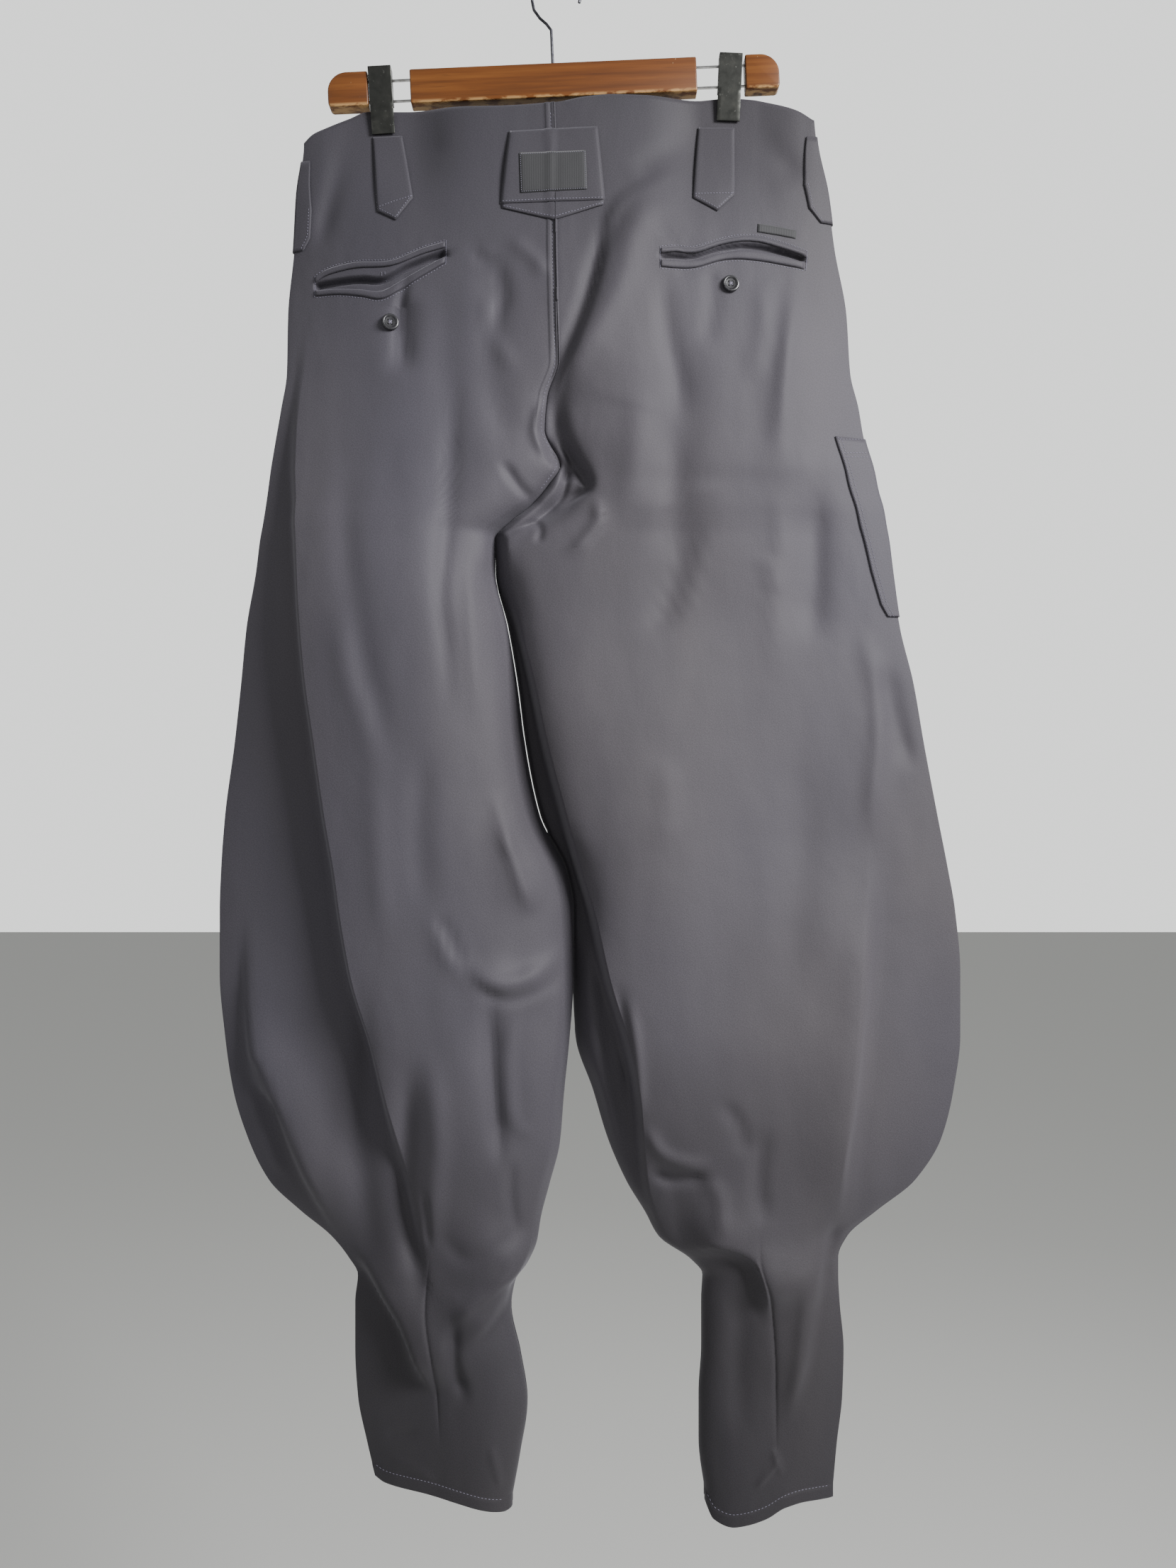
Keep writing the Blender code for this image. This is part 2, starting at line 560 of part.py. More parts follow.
def make_button(name, on, x, z, away):
    """A round button with a raised rim, turned about its axis and set on a panel."""
    flat = BUTTON_RADIUS - BUTTON_BEVEL
    profile = (
        (flat, 0), (BUTTON_RADIUS, BUTTON_BEVEL), (BUTTON_RADIUS, BUTTON_HEIGHT - BUTTON_BEVEL),
        (flat, BUTTON_HEIGHT), (flat - BUTTON_RIM, BUTTON_HEIGHT),
        (flat - BUTTON_RIM - BUTTON_BEVEL, BUTTON_HEIGHT - BUTTON_HOLLOW),
    )
    mesh = bpy.data.meshes.new(name)
    shaped = bmesh.new()
    bottom = shaped.verts.new((0, 0, 0))
    points = [shaped.verts.new((r * MM, 0, h * MM)) for r, h in profile]
    top = shaped.verts.new((0, 0, (BUTTON_HEIGHT - BUTTON_HOLLOW) * MM))
    for a, b in zip([bottom, *points], [*points, top]):
        shaped.edges.new((a, b))
    bmesh.ops.spin(shaped, geom=shaped.verts[:] + shaped.edges[:], cent=(0, 0, 0),
                   axis=(0, 0, 1), angle=2 * math.pi, steps=18, use_merge=True)
    bmesh.ops.remove_doubles(shaped, verts=shaped.verts, dist=1e-6)
    bmesh.ops.recalc_face_normals(shaped, faces=shaped.faces)
    shaped.to_mesh(mesh)
    shaped.free()
    item = add_object(name, mesh, BUTTON_SURFACE)
    tree = tree_of(on)
    ring = [(x + BUTTON_RADIUS * math.cos(a), z + BUTTON_RADIUS * math.sin(a))
            for a in np.linspace(0, 2 * math.pi, 12, endpoint=False)]
    depths = [depth_on(tree, *p, away) for p in [(x, z), *ring]]
    slope_x = (depths[1] - depths[7]) / (2 * BUTTON_RADIUS)
    slope_z = (depths[4] - depths[10]) / (2 * BUTTON_RADIUS)
    normal = Vector((-slope_x * away, away, -slope_z * away)).normalized()
    base = max(away * (d - depths[0] - slope_x * (p[0] - x) - slope_z * (p[1] - z))
               for d, p in zip(depths[1:], ring))
    centre = Vector((x, depths[0], z)) + normal * (max(base, 0) + BUTTON_GAP)
    turn = normal.to_track_quat("Z", "Y").to_matrix().to_4x4()
    item.matrix_world = Matrix.Translation(centre * MM) @ turn


def box(name, size, made_of):
    """A box about the origin."""
    mesh = bpy.data.meshes.new(name)
    shaped = bmesh.new()
    bmesh.ops.create_cube(shaped, size=1, matrix=Matrix.Diagonal((*[v * MM for v in size], 1)))
    shaped.to_mesh(mesh)
    shaped.free()
    return add_object(name, mesh, made_of)


def cylinder(name, radius, length, made_of, sides=12):
    """A cylinder along X about the origin."""
    mesh = bpy.data.meshes.new(name)
    shaped = bmesh.new()
    bmesh.ops.create_cone(shaped, cap_ends=True, segments=sides, radius1=radius * MM,
                          radius2=radius * MM, depth=length * MM,
                          matrix=Matrix.Rotation(math.pi / 2, 4, "Y"))
    shaped.to_mesh(mesh)
    shaped.free()
    mesh.shade_smooth()
    mesh.set_sharp_from_angle(angle=math.radians(40))
    return add_object(name, mesh, made_of)


def as_cutter(item):
    """Move an object among the cutters."""
    parts.objects.unlink(item)
    cutters.objects.link(item)
    item.hide_render = True
    item.display_type = "WIRE"
    return item


def cut(item, cutter):
    """Take a cutter's shape out of an object."""
    change = item.modifiers.new("Cut " + cutter.name, "BOOLEAN")
    change.operation = "DIFFERENCE"
    change.object = cutter


def bevel(item, width, segments=2):
    """Round an object's sharp edges."""
    change = item.modifiers.new("Rounded edges", "BEVEL")
    change.width = width * MM
    change.segments = segments
    change.limit_method = "ANGLE"
    change.angle_limit = math.radians(40)


def end_block(name, sign, start):
    """An end of the hanger, with a round outer corner at the top."""
    low, high = -BLOCK_HEIGHT / 2, BLOCK_HEIGHT / 2
    outline = [(start, low), (END_OUTER - 3, low), (END_OUTER, low + 3)]
    turn = np.linspace(0, math.pi / 2, 7)
    outline += [(END_OUTER - 1.5 - END_CORNER * (1 - math.cos(a)),
                 high - END_CORNER * (1 - math.sin(a))) for a in turn]
    outline.append((start, high))
    shape = bpy.data.curves.new(name, "CURVE")
    shape.dimensions = "2D"
    shape.fill_mode = "BOTH"
    shape.extrude = BLOCK_DEPTH / 2 * MM
    line = shape.splines.new("POLY")
    line.points.add(len(outline) - 1)
    for point, (x, z) in zip(line.points, outline):
        point.co = (sign * x * MM, z * MM, 0, 1)
    line.use_cyclic_u = True
    flat = bpy.data.objects.new(name + "_outline", shape)
    parts.objects.link(flat)
    mesh = bpy.data.meshes.new_from_object(flat.evaluated_get(bpy.context.evaluated_depsgraph_get()))
    bpy.data.objects.remove(flat)
    mesh.name = name
    shaped = bmesh.new()
    shaped.from_mesh(mesh)
    bmesh.ops.remove_doubles(shaped, verts=shaped.verts, dist=1e-6)
    bmesh.ops.rotate(shaped, verts=shaped.verts, matrix=Matrix.Rotation(math.pi / 2, 3, "X"))
    bmesh.ops.recalc_face_normals(shaped, faces=shaped.faces)
    shaped.to_mesh(mesh)
    shaped.free()
    item = add_object(name, mesh, WOOD_SURFACE)
    bevel(item, 0.8, 1)
    return item


def make_hanger():
    """The wooden middle block and end blocks, the rods between them and the hook wire."""
    tilt = bpy.data.objects.new("hanger_tilt", None)
    parts.objects.link(tilt)
    tilt.rotation_euler = (0, math.radians(TILT), 0)
    tilt.location = (0, 0, BLOCK_CENTRE * MM)
    block = box("hanger_bar", (BLOCK_LENGTH, BLOCK_DEPTH, BLOCK_HEIGHT), WOOD_SURFACE)
    bevel(block, 0.8)
    block.parent = tilt
    bore_radius = (ROD_RADIUS + BORE_GAP) / math.cos(math.pi / 12)
    bores = {}
    for side, sign in (("left", -1), ("right", 1)):
        rod_start, rod_end = BLOCK_LENGTH / 2 - ROD_SINK, END_INNER[side] + ROD_SINK
        end = end_block("hanger_end_" + side, sign, END_INNER[side])
        end.parent = tilt
        for row, height in (("upper", ROD_OFFSET), ("lower", -ROD_OFFSET)):
            middle = (sign * (rod_start + rod_end) / 2 * MM, 0, height * MM)
            rod = cylinder(f"hanger_rod_{row}_{side}", ROD_RADIUS, rod_end - rod_start,
                           STEEL_SURFACE)
            bore = as_cutter(cylinder(f"bore_{row}_{side}", bore_radius,
                                      rod_end - rod_start + 2 * SEAM_GAP, STEEL_SURFACE))
            for item in (rod, bore):
                item.parent = tilt
                item.location = middle
            cut(end, bore)
            cut(block, bore)
            bores[row, side] = bore
    shank = as_cutter(cylinder("bore_shank", (HOOK_WIRE + BORE_GAP) / math.cos(math.pi / 12),
                               2 * SHANK_SINK, STEEL_SURFACE))
    shank.parent = tilt
    shank.rotation_euler = (0, math.pi / 2, 0)
    shank.location = (0, 0, BLOCK_HEIGHT / 2 * MM)
    cut(block, shank)
    return bores


def make_hook():
    """The hook: a shank, a bend to the left and a round hook over the rail."""
    centre = (HOOK_CENTRE_X, -(HOOK_RADIUS - HOOK_WIRE))
    lean = math.tan(math.radians(TILT))
    shank = (BLOCK_CENTRE + BLOCK_HEIGHT / 2 - SHANK_SINK + SEAM_GAP, -64, -52)
    route = [((z - BLOCK_CENTRE) * lean, z) for z in shank]
    route += [(-1.8, -43.5), (-5.2, -39), (-10.2, -34.6), (-14.6, -28.5), (-15.9, -22)]
    route += [(centre[0] - HOOK_RADIUS * math.cos(a), centre[1] + HOOK_RADIUS * math.sin(a))
              for a in np.radians(np.linspace(4, 200, 22))]
    shape = bpy.data.curves.new("hanger_hook", "CURVE")
    shape.dimensions = "3D"
    shape.bevel_depth = HOOK_WIRE * MM
    shape.bevel_resolution = 2
    shape.use_fill_caps = True
    line = shape.splines.new("POLY")
    line.points.add(len(route) - 1)
    for point, (x, z) in zip(line.points, route):
        point.co = (x * MM, 0, z * MM, 1)
    item = bpy.data.objects.new("hanger_hook", shape)
    shape.materials.append(WIRE_SURFACE)
    parts.objects.link(item)
    return item


def clip_jaw(name, clip, half_width, away, bores):
    """One jaw of a clip: a leaning plate with two cheeks that ride on the rods."""
    reach = CLIP_HEIGHT / 2
    y_top, y_low = away * CLIP_TOP_DEPTH, away * CLIP_LOW_DEPTH
    y_mid = y_low + (y_top - y_low) * (CHEEK_LOW + reach) / CLIP_HEIGHT
    cheek_y = -away * CHEEK_DEPTH
    mesh = bpy.data.meshes.new(name)
    shaped = bmesh.new()
    corners = {}
    for sign in (-1, 1):
        x = sign * half_width
        corners[sign] = [shaped.verts.new((x * MM, y * MM, z * MM)) for y, z in (
            (y_low, -reach), (y_mid, CHEEK_LOW), (y_top, reach),
            (cheek_y, reach), (cheek_y, CHEEK_LOW))]
    a, b = corners[-1], corners[1]
    for face in ((a[0], b[0], b[1], a[1]), (a[1], b[1], b[2], a[2]),
                 (a[1], a[2], a[3], a[4]), (b[1], b[4], b[3], b[2])):
        shaped.faces.new(face)
    bmesh.ops.recalc_face_normals(shaped, faces=shaped.faces)
    shaped.to_mesh(mesh)
    shaped.free()
    item = add_object(name, mesh, CLIP_SURFACE)
    shell = item.modifiers.new("Sheet steel", "SOLIDIFY")
    shell.thickness = CLIP_PLATE * MM
    shell.offset = 0
    shell.use_even_offset = True
    item.location = (clip["x"] * MM, 0, (clip["top"] - reach) * MM)
    item.rotation_euler = (0, math.radians(clip["lean"]), 0)
    for bore in bores:
        cut(item, bore)
    return item


def make_clips(bores):
    """Both clips, each a front and a back jaw."""
    for side, clip in CLIPS.items():
        own = [bores[row, side] for row in ("upper", "lower")]
        clip_jaw(f"clip_{side}_front", clip, CLIP_WIDTH / 2 - CLIP_PLATE / 2, -1, own)
        clip_jaw(f"clip_{side}_back", clip, CLIP_WIDTH / 2 - CLIP_PLATE * 1.5 - SEAM_GAP, 1, own)


for old in list(bpy.data.objects):
    bpy.data.objects.remove(old, do_unlink=True)
parts = bpy.data.collections.new("Tobi work trousers on a clamp hanger")
cutters = bpy.data.collections.new("Cutters")
bpy.context.scene.collection.children.link(parts)
bpy.context.scene.collection.children.link(cutters)
CLOTH_SURFACE = material("Slate twill", (0.085, 0.08, 0.098), 0.75)
PATCH_SURFACE = material("Black woven patch", (0.02, 0.02, 0.023), 0.7)
BUTTON_SURFACE = material("Button plastic", (0.03, 0.03, 0.035), 0.35)
WOOD_SURFACE = material("Varnished wood", (0.27, 0.12, 0.045), 0.45)
CLIP_SURFACE = material("Tarnished steel", (0.13, 0.13, 0.125), 0.5, 1.0)
STEEL_SURFACE = material("Bright steel", (0.5, 0.5, 0.5), 0.3, 1.0)
WIRE_SURFACE = material("Dark wire", (0.06, 0.06, 0.07), 0.4, 1.0)

trouser_panels = make_panels()
make_loops(trouser_panels)
make_pockets(trouser_panels)
make_fly(trouser_panels)
make_button("button_pocket_left", [trouser_panels["back_left"]], -118.8, -266.5, -1)
make_button("button_pocket_right", [trouser_panels["back_right"]], 129, -239.3, -1)
make_button("button_waist", [bpy.data.objects["fly_placket"]], 18, -126, 1)
rod_bores = make_hanger()
make_hook()
make_clips(rod_bores)
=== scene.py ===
"""Tobi work trousers hanging on a wooden clamp hanger, seen from the back."""
import math

import bmesh
import bpy
import numpy as np
from mathutils import Matrix, Vector, noise
from mathutils.bvhtree import BVHTree


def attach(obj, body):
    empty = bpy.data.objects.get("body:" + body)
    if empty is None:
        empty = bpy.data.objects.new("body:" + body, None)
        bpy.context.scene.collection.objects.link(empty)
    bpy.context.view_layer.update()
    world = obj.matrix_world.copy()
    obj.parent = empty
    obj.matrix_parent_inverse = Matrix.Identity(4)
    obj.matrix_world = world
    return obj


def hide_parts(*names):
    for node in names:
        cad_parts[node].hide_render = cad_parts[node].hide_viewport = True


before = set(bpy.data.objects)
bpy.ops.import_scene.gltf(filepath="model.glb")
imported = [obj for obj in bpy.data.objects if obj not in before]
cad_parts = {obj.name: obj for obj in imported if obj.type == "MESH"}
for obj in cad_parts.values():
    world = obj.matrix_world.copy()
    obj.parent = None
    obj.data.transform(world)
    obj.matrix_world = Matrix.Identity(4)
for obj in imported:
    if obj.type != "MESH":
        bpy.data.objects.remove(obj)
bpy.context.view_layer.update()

# The camera stands a little to the right of the hook, level with the knees, and sees the whole
# garment square on from the back.
CAMERA_PLACE = (0.0255, -0.95, -0.6026)
CAMERA_LENS = 29.4
CAMERA_HEIGHT = 36

camera_data = bpy.data.cameras.new("camera")
camera_data.lens = CAMERA_LENS
camera_data.sensor_fit = "VERTICAL"
camera_data.sensor_height = CAMERA_HEIGHT
camera = bpy.data.objects.new("camera", camera_data)
camera.location = CAMERA_PLACE
camera.rotation_euler = (math.pi / 2, 0, 0)
bpy.context.scene.collection.objects.link(camera)
bpy.context.scene.camera = camera

# The trousers' cloth: a slate-grey cotton twill with a soft satin sheen, a fine close weave, a
# little uneven in tone where it is worn, with painted shade darkening it at the waist and the calves.
MM = 0.001
SLATE_DARK = (0.058, 0.053, 0.061)
SLATE_LIGHT = (0.080, 0.073, 0.080)
SLATE_BLUE = (0.064, 0.060, 0.076)
# Painted shade by height in metres: the cloth's colour is darkened towards the waist and more towards
# the calves, standing in for shade there.
HEIGHT_PAINTED_SHADE = ((-1.15, 0.42), (-1.00, 0.50), (-0.93, 0.72), (-0.80, 0.92), (-0.45, 1.0), (-0.28, 1.0),
          (-0.19, 0.74), (-0.10, 0.58))


def new_material(name, colour, roughness, metallic=0.0):
    """A material with its shader, its nodes and a short way to link them."""
    made = bpy.data.materials.new(name)
    made.use_nodes = True
    tree = made.node_tree
    shader = tree.nodes["Principled BSDF"]
    shader.inputs["Base Color"].default_value = (*colour, 1)
    shader.inputs["Roughness"].default_value = roughness
    shader.inputs["Metallic"].default_value = metallic
    return made, tree, shader


def noise_on(tree, coordinate, scale, detail=3, stretch=(1, 1, 1), turn=(0, 0, 0)):
    """A noise pattern on the object's own coordinates, stretched along its axes."""
    place = tree.nodes.new("ShaderNodeTexCoord")
    mapping = tree.nodes.new("ShaderNodeMapping")
    mapping.inputs["Scale"].default_value = stretch
    mapping.inputs["Rotation"].default_value = turn
    pattern = tree.nodes.new("ShaderNodeTexNoise")
    pattern.inputs["Scale"].default_value = scale
    pattern.inputs["Detail"].default_value = detail
    tree.links.new(place.outputs[coordinate], mapping.inputs["Vector"])
    tree.links.new(mapping.outputs["Vector"], pattern.inputs["Vector"])
    return pattern.outputs["Fac"]


def ramp(tree, value, stops):
    """Colours at places along a value from 0 to 1."""
    node = tree.nodes.new("ShaderNodeValToRGB")
    marks = node.color_ramp.elements
    while len(marks) < len(stops):
        marks.new(0.5)
    for mark, (place, colour) in zip(marks, stops):
        mark.position = place
        mark.color = (*colour, 1)
    tree.links.new(value, node.inputs["Fac"])
    return node.outputs["Color"]


def toned(tree, shader, value, stops):
    """A surface's colour, from colours at places along a value."""
    tree.links.new(ramp(tree, value, stops), shader.inputs["Base Color"])


def mixed(tree, share, first, second, how="MIX"):
    """Two colours mixed by a share."""
    node = tree.nodes.new("ShaderNodeMix")
    node.data_type = "RGBA"
    node.blend_type = how
    for value, place in ((share, 0), (first, 6), (second, 7)):
        socket = node.inputs[place]
        if isinstance(value, (int, float)):
            socket.default_value = value
        elif isinstance(value, tuple):
            socket.default_value = (*value, 1)
        else:
            tree.links.new(value, socket)
    return node.outputs[2]


def bumped(tree, shader, height, strength, depth):
    """A height pattern pressed into a surface."""
    node = tree.nodes.new("ShaderNodeBump")
    node.inputs["Strength"].default_value = strength
    node.inputs["Distance"].default_value = depth
    tree.links.new(height, node.inputs["Height"])
    before = shader.inputs["Normal"]
    if before.is_linked:
        tree.links.new(before.links[0].from_socket, node.inputs["Normal"])
    tree.links.new(node.outputs["Normal"], before)


def twill(name, dark, light, blue, sheen=0.14):
    """Slate twill: blotches of worn and bluish cloth, a fine grain, a satin sheen and painted shade at
    the waist and the calves.
    """
    made, tree, shader = new_material(name, light, 0.62)
    broad = noise_on(tree, "Object", 9, 4, (1, 1, 0.45))
    worn = ramp(tree, broad, ((0.32, dark), (0.68, light)))
    zone = ramp(tree, noise_on(tree, "Object", 3.4, 2, (1, 1, 0.6)),
                ((0.36, (0, 0, 0)), (0.68, (0.8, 0.8, 0.8))))
    colour = mixed(tree, zone, worn, blue)
    grain = noise_on(tree, "UV", 1100, 2, (1, 1, 1), (0, 0, math.radians(35)))
    fleck = ramp(tree, grain, ((0.25, (0.82, 0.82, 0.82)), (0.75, (1.18, 1.18, 1.18))))
    colour = mixed(tree, 1.0, colour, fleck, "MULTIPLY")
    # Painted shade: the colour is multiplied darker by height, towards the waist and the calves.
    place = tree.nodes.new("ShaderNodeTexCoord")
    split = tree.nodes.new("ShaderNodeSeparateXYZ")
    height = tree.nodes.new("ShaderNodeMapRange")
    height.inputs["From Min"].default_value = HEIGHT_PAINTED_SHADE[0][0]
    height.inputs["From Max"].default_value = HEIGHT_PAINTED_SHADE[-1][0]
    tree.links.new(place.outputs["Object"], split.inputs["Vector"])
    tree.links.new(split.outputs["Z"], height.inputs["Value"])
    reach = HEIGHT_PAINTED_SHADE[-1][0] - HEIGHT_PAINTED_SHADE[0][0]
    stops = [((z - HEIGHT_PAINTED_SHADE[0][0]) / reach, (tone, tone, tone)) for z, tone in HEIGHT_PAINTED_SHADE]
    colour = mixed(tree, 1.0, colour, ramp(tree, height.outputs["Result"], stops), "MULTIPLY")
    tree.links.new(colour, shader.inputs["Base Color"])
    shader.inputs["Sheen Weight"].default_value = sheen
    shader.inputs["Sheen Roughness"].default_value = 0.45
    shader.inputs["Sheen Tint"].default_value = (0.82, 0.8, 0.9, 1)
    shader.inputs["Specular IOR Level"].default_value = 0.22
    bumped(tree, shader, grain, 0.35, 0.0002)
    bumped(tree, shader, noise_on(tree, "Object", 60, 3, (1, 1, 0.5)), 0.25, 0.0012)
    return made


slate_twill = twill("slate_twill", SLATE_DARK, SLATE_LIGHT, SLATE_BLUE)

# The leg panels: two backs and two fronts, cut full at the thigh and drawn in below the knee. They
# meet at the side, centre and inner leg seams, and the clips squeeze both layers at the waist.
CLOTH = 1.5
HALF_SEAM = 0.15
EDGE = HALF_SEAM + CLOTH
SECTION_COLUMNS = (
    "z", "out_l", "fold_l", "in_l", "in_r", "fold_r", "wing_r", "out_r",
    "back_l", "back_r", "front", "close",
)
SECTIONS = (
    (-100, -185, -166, 0, 0, 12, 150, 192, 12, 12, 5, 0.00),
    (-129, -185, -166, 1, 1, 13, 150, 195, 15, 15, 8, 0.00),
    (-164, -190, -172, 2, 2, 14, 152, 203, 19, 19, 11, 0.00),
    (-205, -193, -176, 2, 2, 14, 156, 209, 23, 24, 12, 0.00),
    (-252, -198, -181, 3, 3, 15, 163, 218, 27, 28, 14, 0.00),
    (-297, -199, -184, 4, 4, 15, 170, 221, 28, 29, 14, 0.12),
    (-322, -203, -187, -4, -4, 9, 176, 227, 28, 29, 15, 0.28),
    (-345, -207, -188, -6, -6, 8, 182, 231, 28, 29, 15, 0.42),
    (-369, -211, -188, 5, 5, 16, 188, 238, 28, 28, 15, 0.60),
    (-384, -213, -187, -4, -4, 6, 192, 241, 28, 27, 15, 0.72),
    (-398, -215, -186, -17, -17, -7, 196, 245, 28, 27, 15, 0.84),
    (-410, -217, -186, -33, -33, -25, 200, 247, 29, 26, 16, 0.94),
    (-421, -219, -185, -43, -43, -37, 203, 249, 29, 25, 16, 1.00),
    (-445, -222, -183, -43, -42.5, -37, 210, 252, 30, 24, 16, 1.00),
    (-486, -229, -180, -34, -35, -24, 222, 258, 30, 22, 17, 1.00),
    (-527, -233, -176, -27, -28, -13, 232, 268, 30, 22, 17, 1.00),
    (-573, -238, -169, -21, -22, -3, 236, 276, 30, 22, 18, 1.00),
    (-626, -245, -161, -10, -11, 11, 233, 286, 30, 22, 18, 1.00),
    (-667, -248, -154, 10, 9, 22, 231, 294, 30, 22, 18, 1.00),
    (-696, -249, -150, 15, 14, 31, 228, 299, 30, 22, 18, 1.00),
    (-743, -249, -141, 15, 14, 42, 224, 303, 30, 22, 18, 1.00),
    (-790, -245, -127, 12, 16, 56, 220, 303, 29, 22, 18, 1.00),
    (-830, -239, -117, 8, 29, 64, 216, 298, 28, 21, 18, 1.00),
    (-866, -228, -108, 5, 40, 67, 213, 289, 27, 21, 18, 1.00),
    (-898, -212, -101, -3, 54, 71, 207, 269, 26, 21, 18, 1.00),
    (-921, -188, -96, -9, 68, 78, 200, 240, 25, 21, 17, 1.00),
    (-939, -166, -92, -12, 78, 89, 190, 219, 24, 20, 16, 1.00),
    (-955, -153, -89, -19, 101, 112, 182, 212, 22, 20, 16, 1.00),
    (-968, -146, -87, -28, 111, 122, 180, 212, 20, 20, 16, 1.00),
    (-988, -148, -84, -31, 110, 124, 178, 213, 20, 19, 16, 1.00),
    (-1023, -148, -82, -24, 110, 125, 178, 216, 21, 19, 16, 1.00),
    (-1058, -146, -81, -19, 108, 125, 178, 215, 21, 18, 16, 1.00),
    (-1093, -139, -80, -24, 108, 125, 177, 211, 21, 18, 16, 1.00),
    (-1126, -131, -79, -30, 112, 126, 176, 208, 20, 18, 15, 1.00),
)
WAIST_EDGE = (
    (-185, -128), (-178, -122), (-169, -118), (-151, -110), (-138, -105), (-106, -105),
    (-47, -107), (2, -104), (23, -100), (43, -98), (77, -98), (106, -97), (130, -95),
    (147, -96), (161, -99), (181, -105), (192, -111),
)
HEM_EDGE_LEFT = ((-134, -1117), (-125, -1120), (-96, -1121), (-68, -1125), (-35, -1133))
HEM_EDGE_RIGHT = (
    (112, -1134), (118, -1144), (130, -1147), (142, -1145), (156, -1141), (171, -1134),
    (187, -1132), (206, -1133),
)
# Each fold has a name, its kind, the raised side, its rise, the width of its edge, its spread and
# the path down, or a named line of the sections with its first and last height.
BACK_FOLDS = (
    ("left outer fold", "step", 1, 24, 9, 130, ("fold_l", -265, -985)),
    ("left wing edge", "step", 1, 7, 8, 34, (
        (-223, -690), (-223, -786), (-209, -817), (-181, -886), (-155, -940))),
    ("left thigh trough", "ridge", 1, -3.5, 0, 16, (
        (-77, -228), (-75, -329), (-73, -386), (-71, -499))),
    ("pocket crease", "ridge", 1, -4, 0, 9, ((-110, -244), (-108, -273), (-111, -310))),
    ("seat dimple", "ridge", 1, -3, 0, 12, (
        (-60, -214), (-51, -227), (-42, -258), (-46, -300), (-37, -348), (-33, -372))),
    ("crotch tuck", "ridge", 1, -8, 0, 8, (
        (16, -300), (5, -322), (2, -340), (10, -366), (18, -382), (8, -398), (-12, -412),
        (-38, -430))),
    ("right hip drag", "step", 1, 7, 9, 40, (
        (100, -150), (72, -168), (46, -190), (38, -236), (22, -283), (6, -316), (4, -345))),
    ("right thigh trough", "ridge", 1, -4, 0, 18, (
        (78, -244), (90, -300), (90, -386), (88, -442), (68, -500))),
    ("right hip ridge", "ridge", 1, 3, 0, 22, ((179, -240), (176, -330), (164, -410))),
    ("right hip trough", "ridge", 1, -3, 0, 14, ((192, -380), (190, -442), (188, -505))),
    ("right inner fold", "step", 1, 25, 8, 120, ("fold_r", -398, -945)),
    ("right wing", "step", -1, 9, 18, 80, (
        (232, -640), (225, -721), (217, -807), (211, -869), (210, -940))),
    ("left swag", "ridge", 1, 4, 0, 14, ((-54, -724), (-39, -742), (-20, -748), (5, -740))),
    ("left inner ridge", "ridge", 1, 4, 0, 13, ((-36, -616), (-27, -651), (-14, -700))),
    ("left knee trough", "ridge", 1, -4, 0, 16, ((-43, -756), (-38, -810), (-32, -880))),
    ("left knee swag", "step", 1, 9, 12, 42, (
        (-150, -938), (-116, -978), (-102, -1004), (-90, -1050))),
    ("left knee tuck", "step", -1, 9, 12, 42, (
        (-8, -930), (-31, -961), (-48, -987), (-68, -1010))),
    ("right knee swag", "step", 1, 10, 12, 46, (
        (92, -943), (122, -939), (142, -944), (152, -960), (162, -1000))),
    ("right knee ridge", "step", -1, 5, 12, 30, (
        (206, -934), (194, -957), (188, -993), (176, -1060))),
    ("left clip crease", "ridge", 1, -4, 0, 8, (
        (-140, -112), (-153, -137), (-164, -171), (-175, -212))),
    ("right clip crease", "ridge", 1, -3, 0, 9, ((139, -106), (155, -126), (184, -160))),
)
FRONT_FOLDS = (
    ("left front trough", "ridge", 1, -3, 0, 24, ((-120, -250), (-110, -420), (-90, -640))),
    ("right front trough", "ridge", 1, -3, 0, 24, ((120, -250), (130, -420), (120, -640))),
    ("left front knee", "ridge", 1, -4, 0, 20, ((-150, -900), (-90, -960), (-30, -930))),
    ("right front knee", "ridge", 1, -4, 0, 20, ((80, -930), (140, -965), (205, -920))),
)
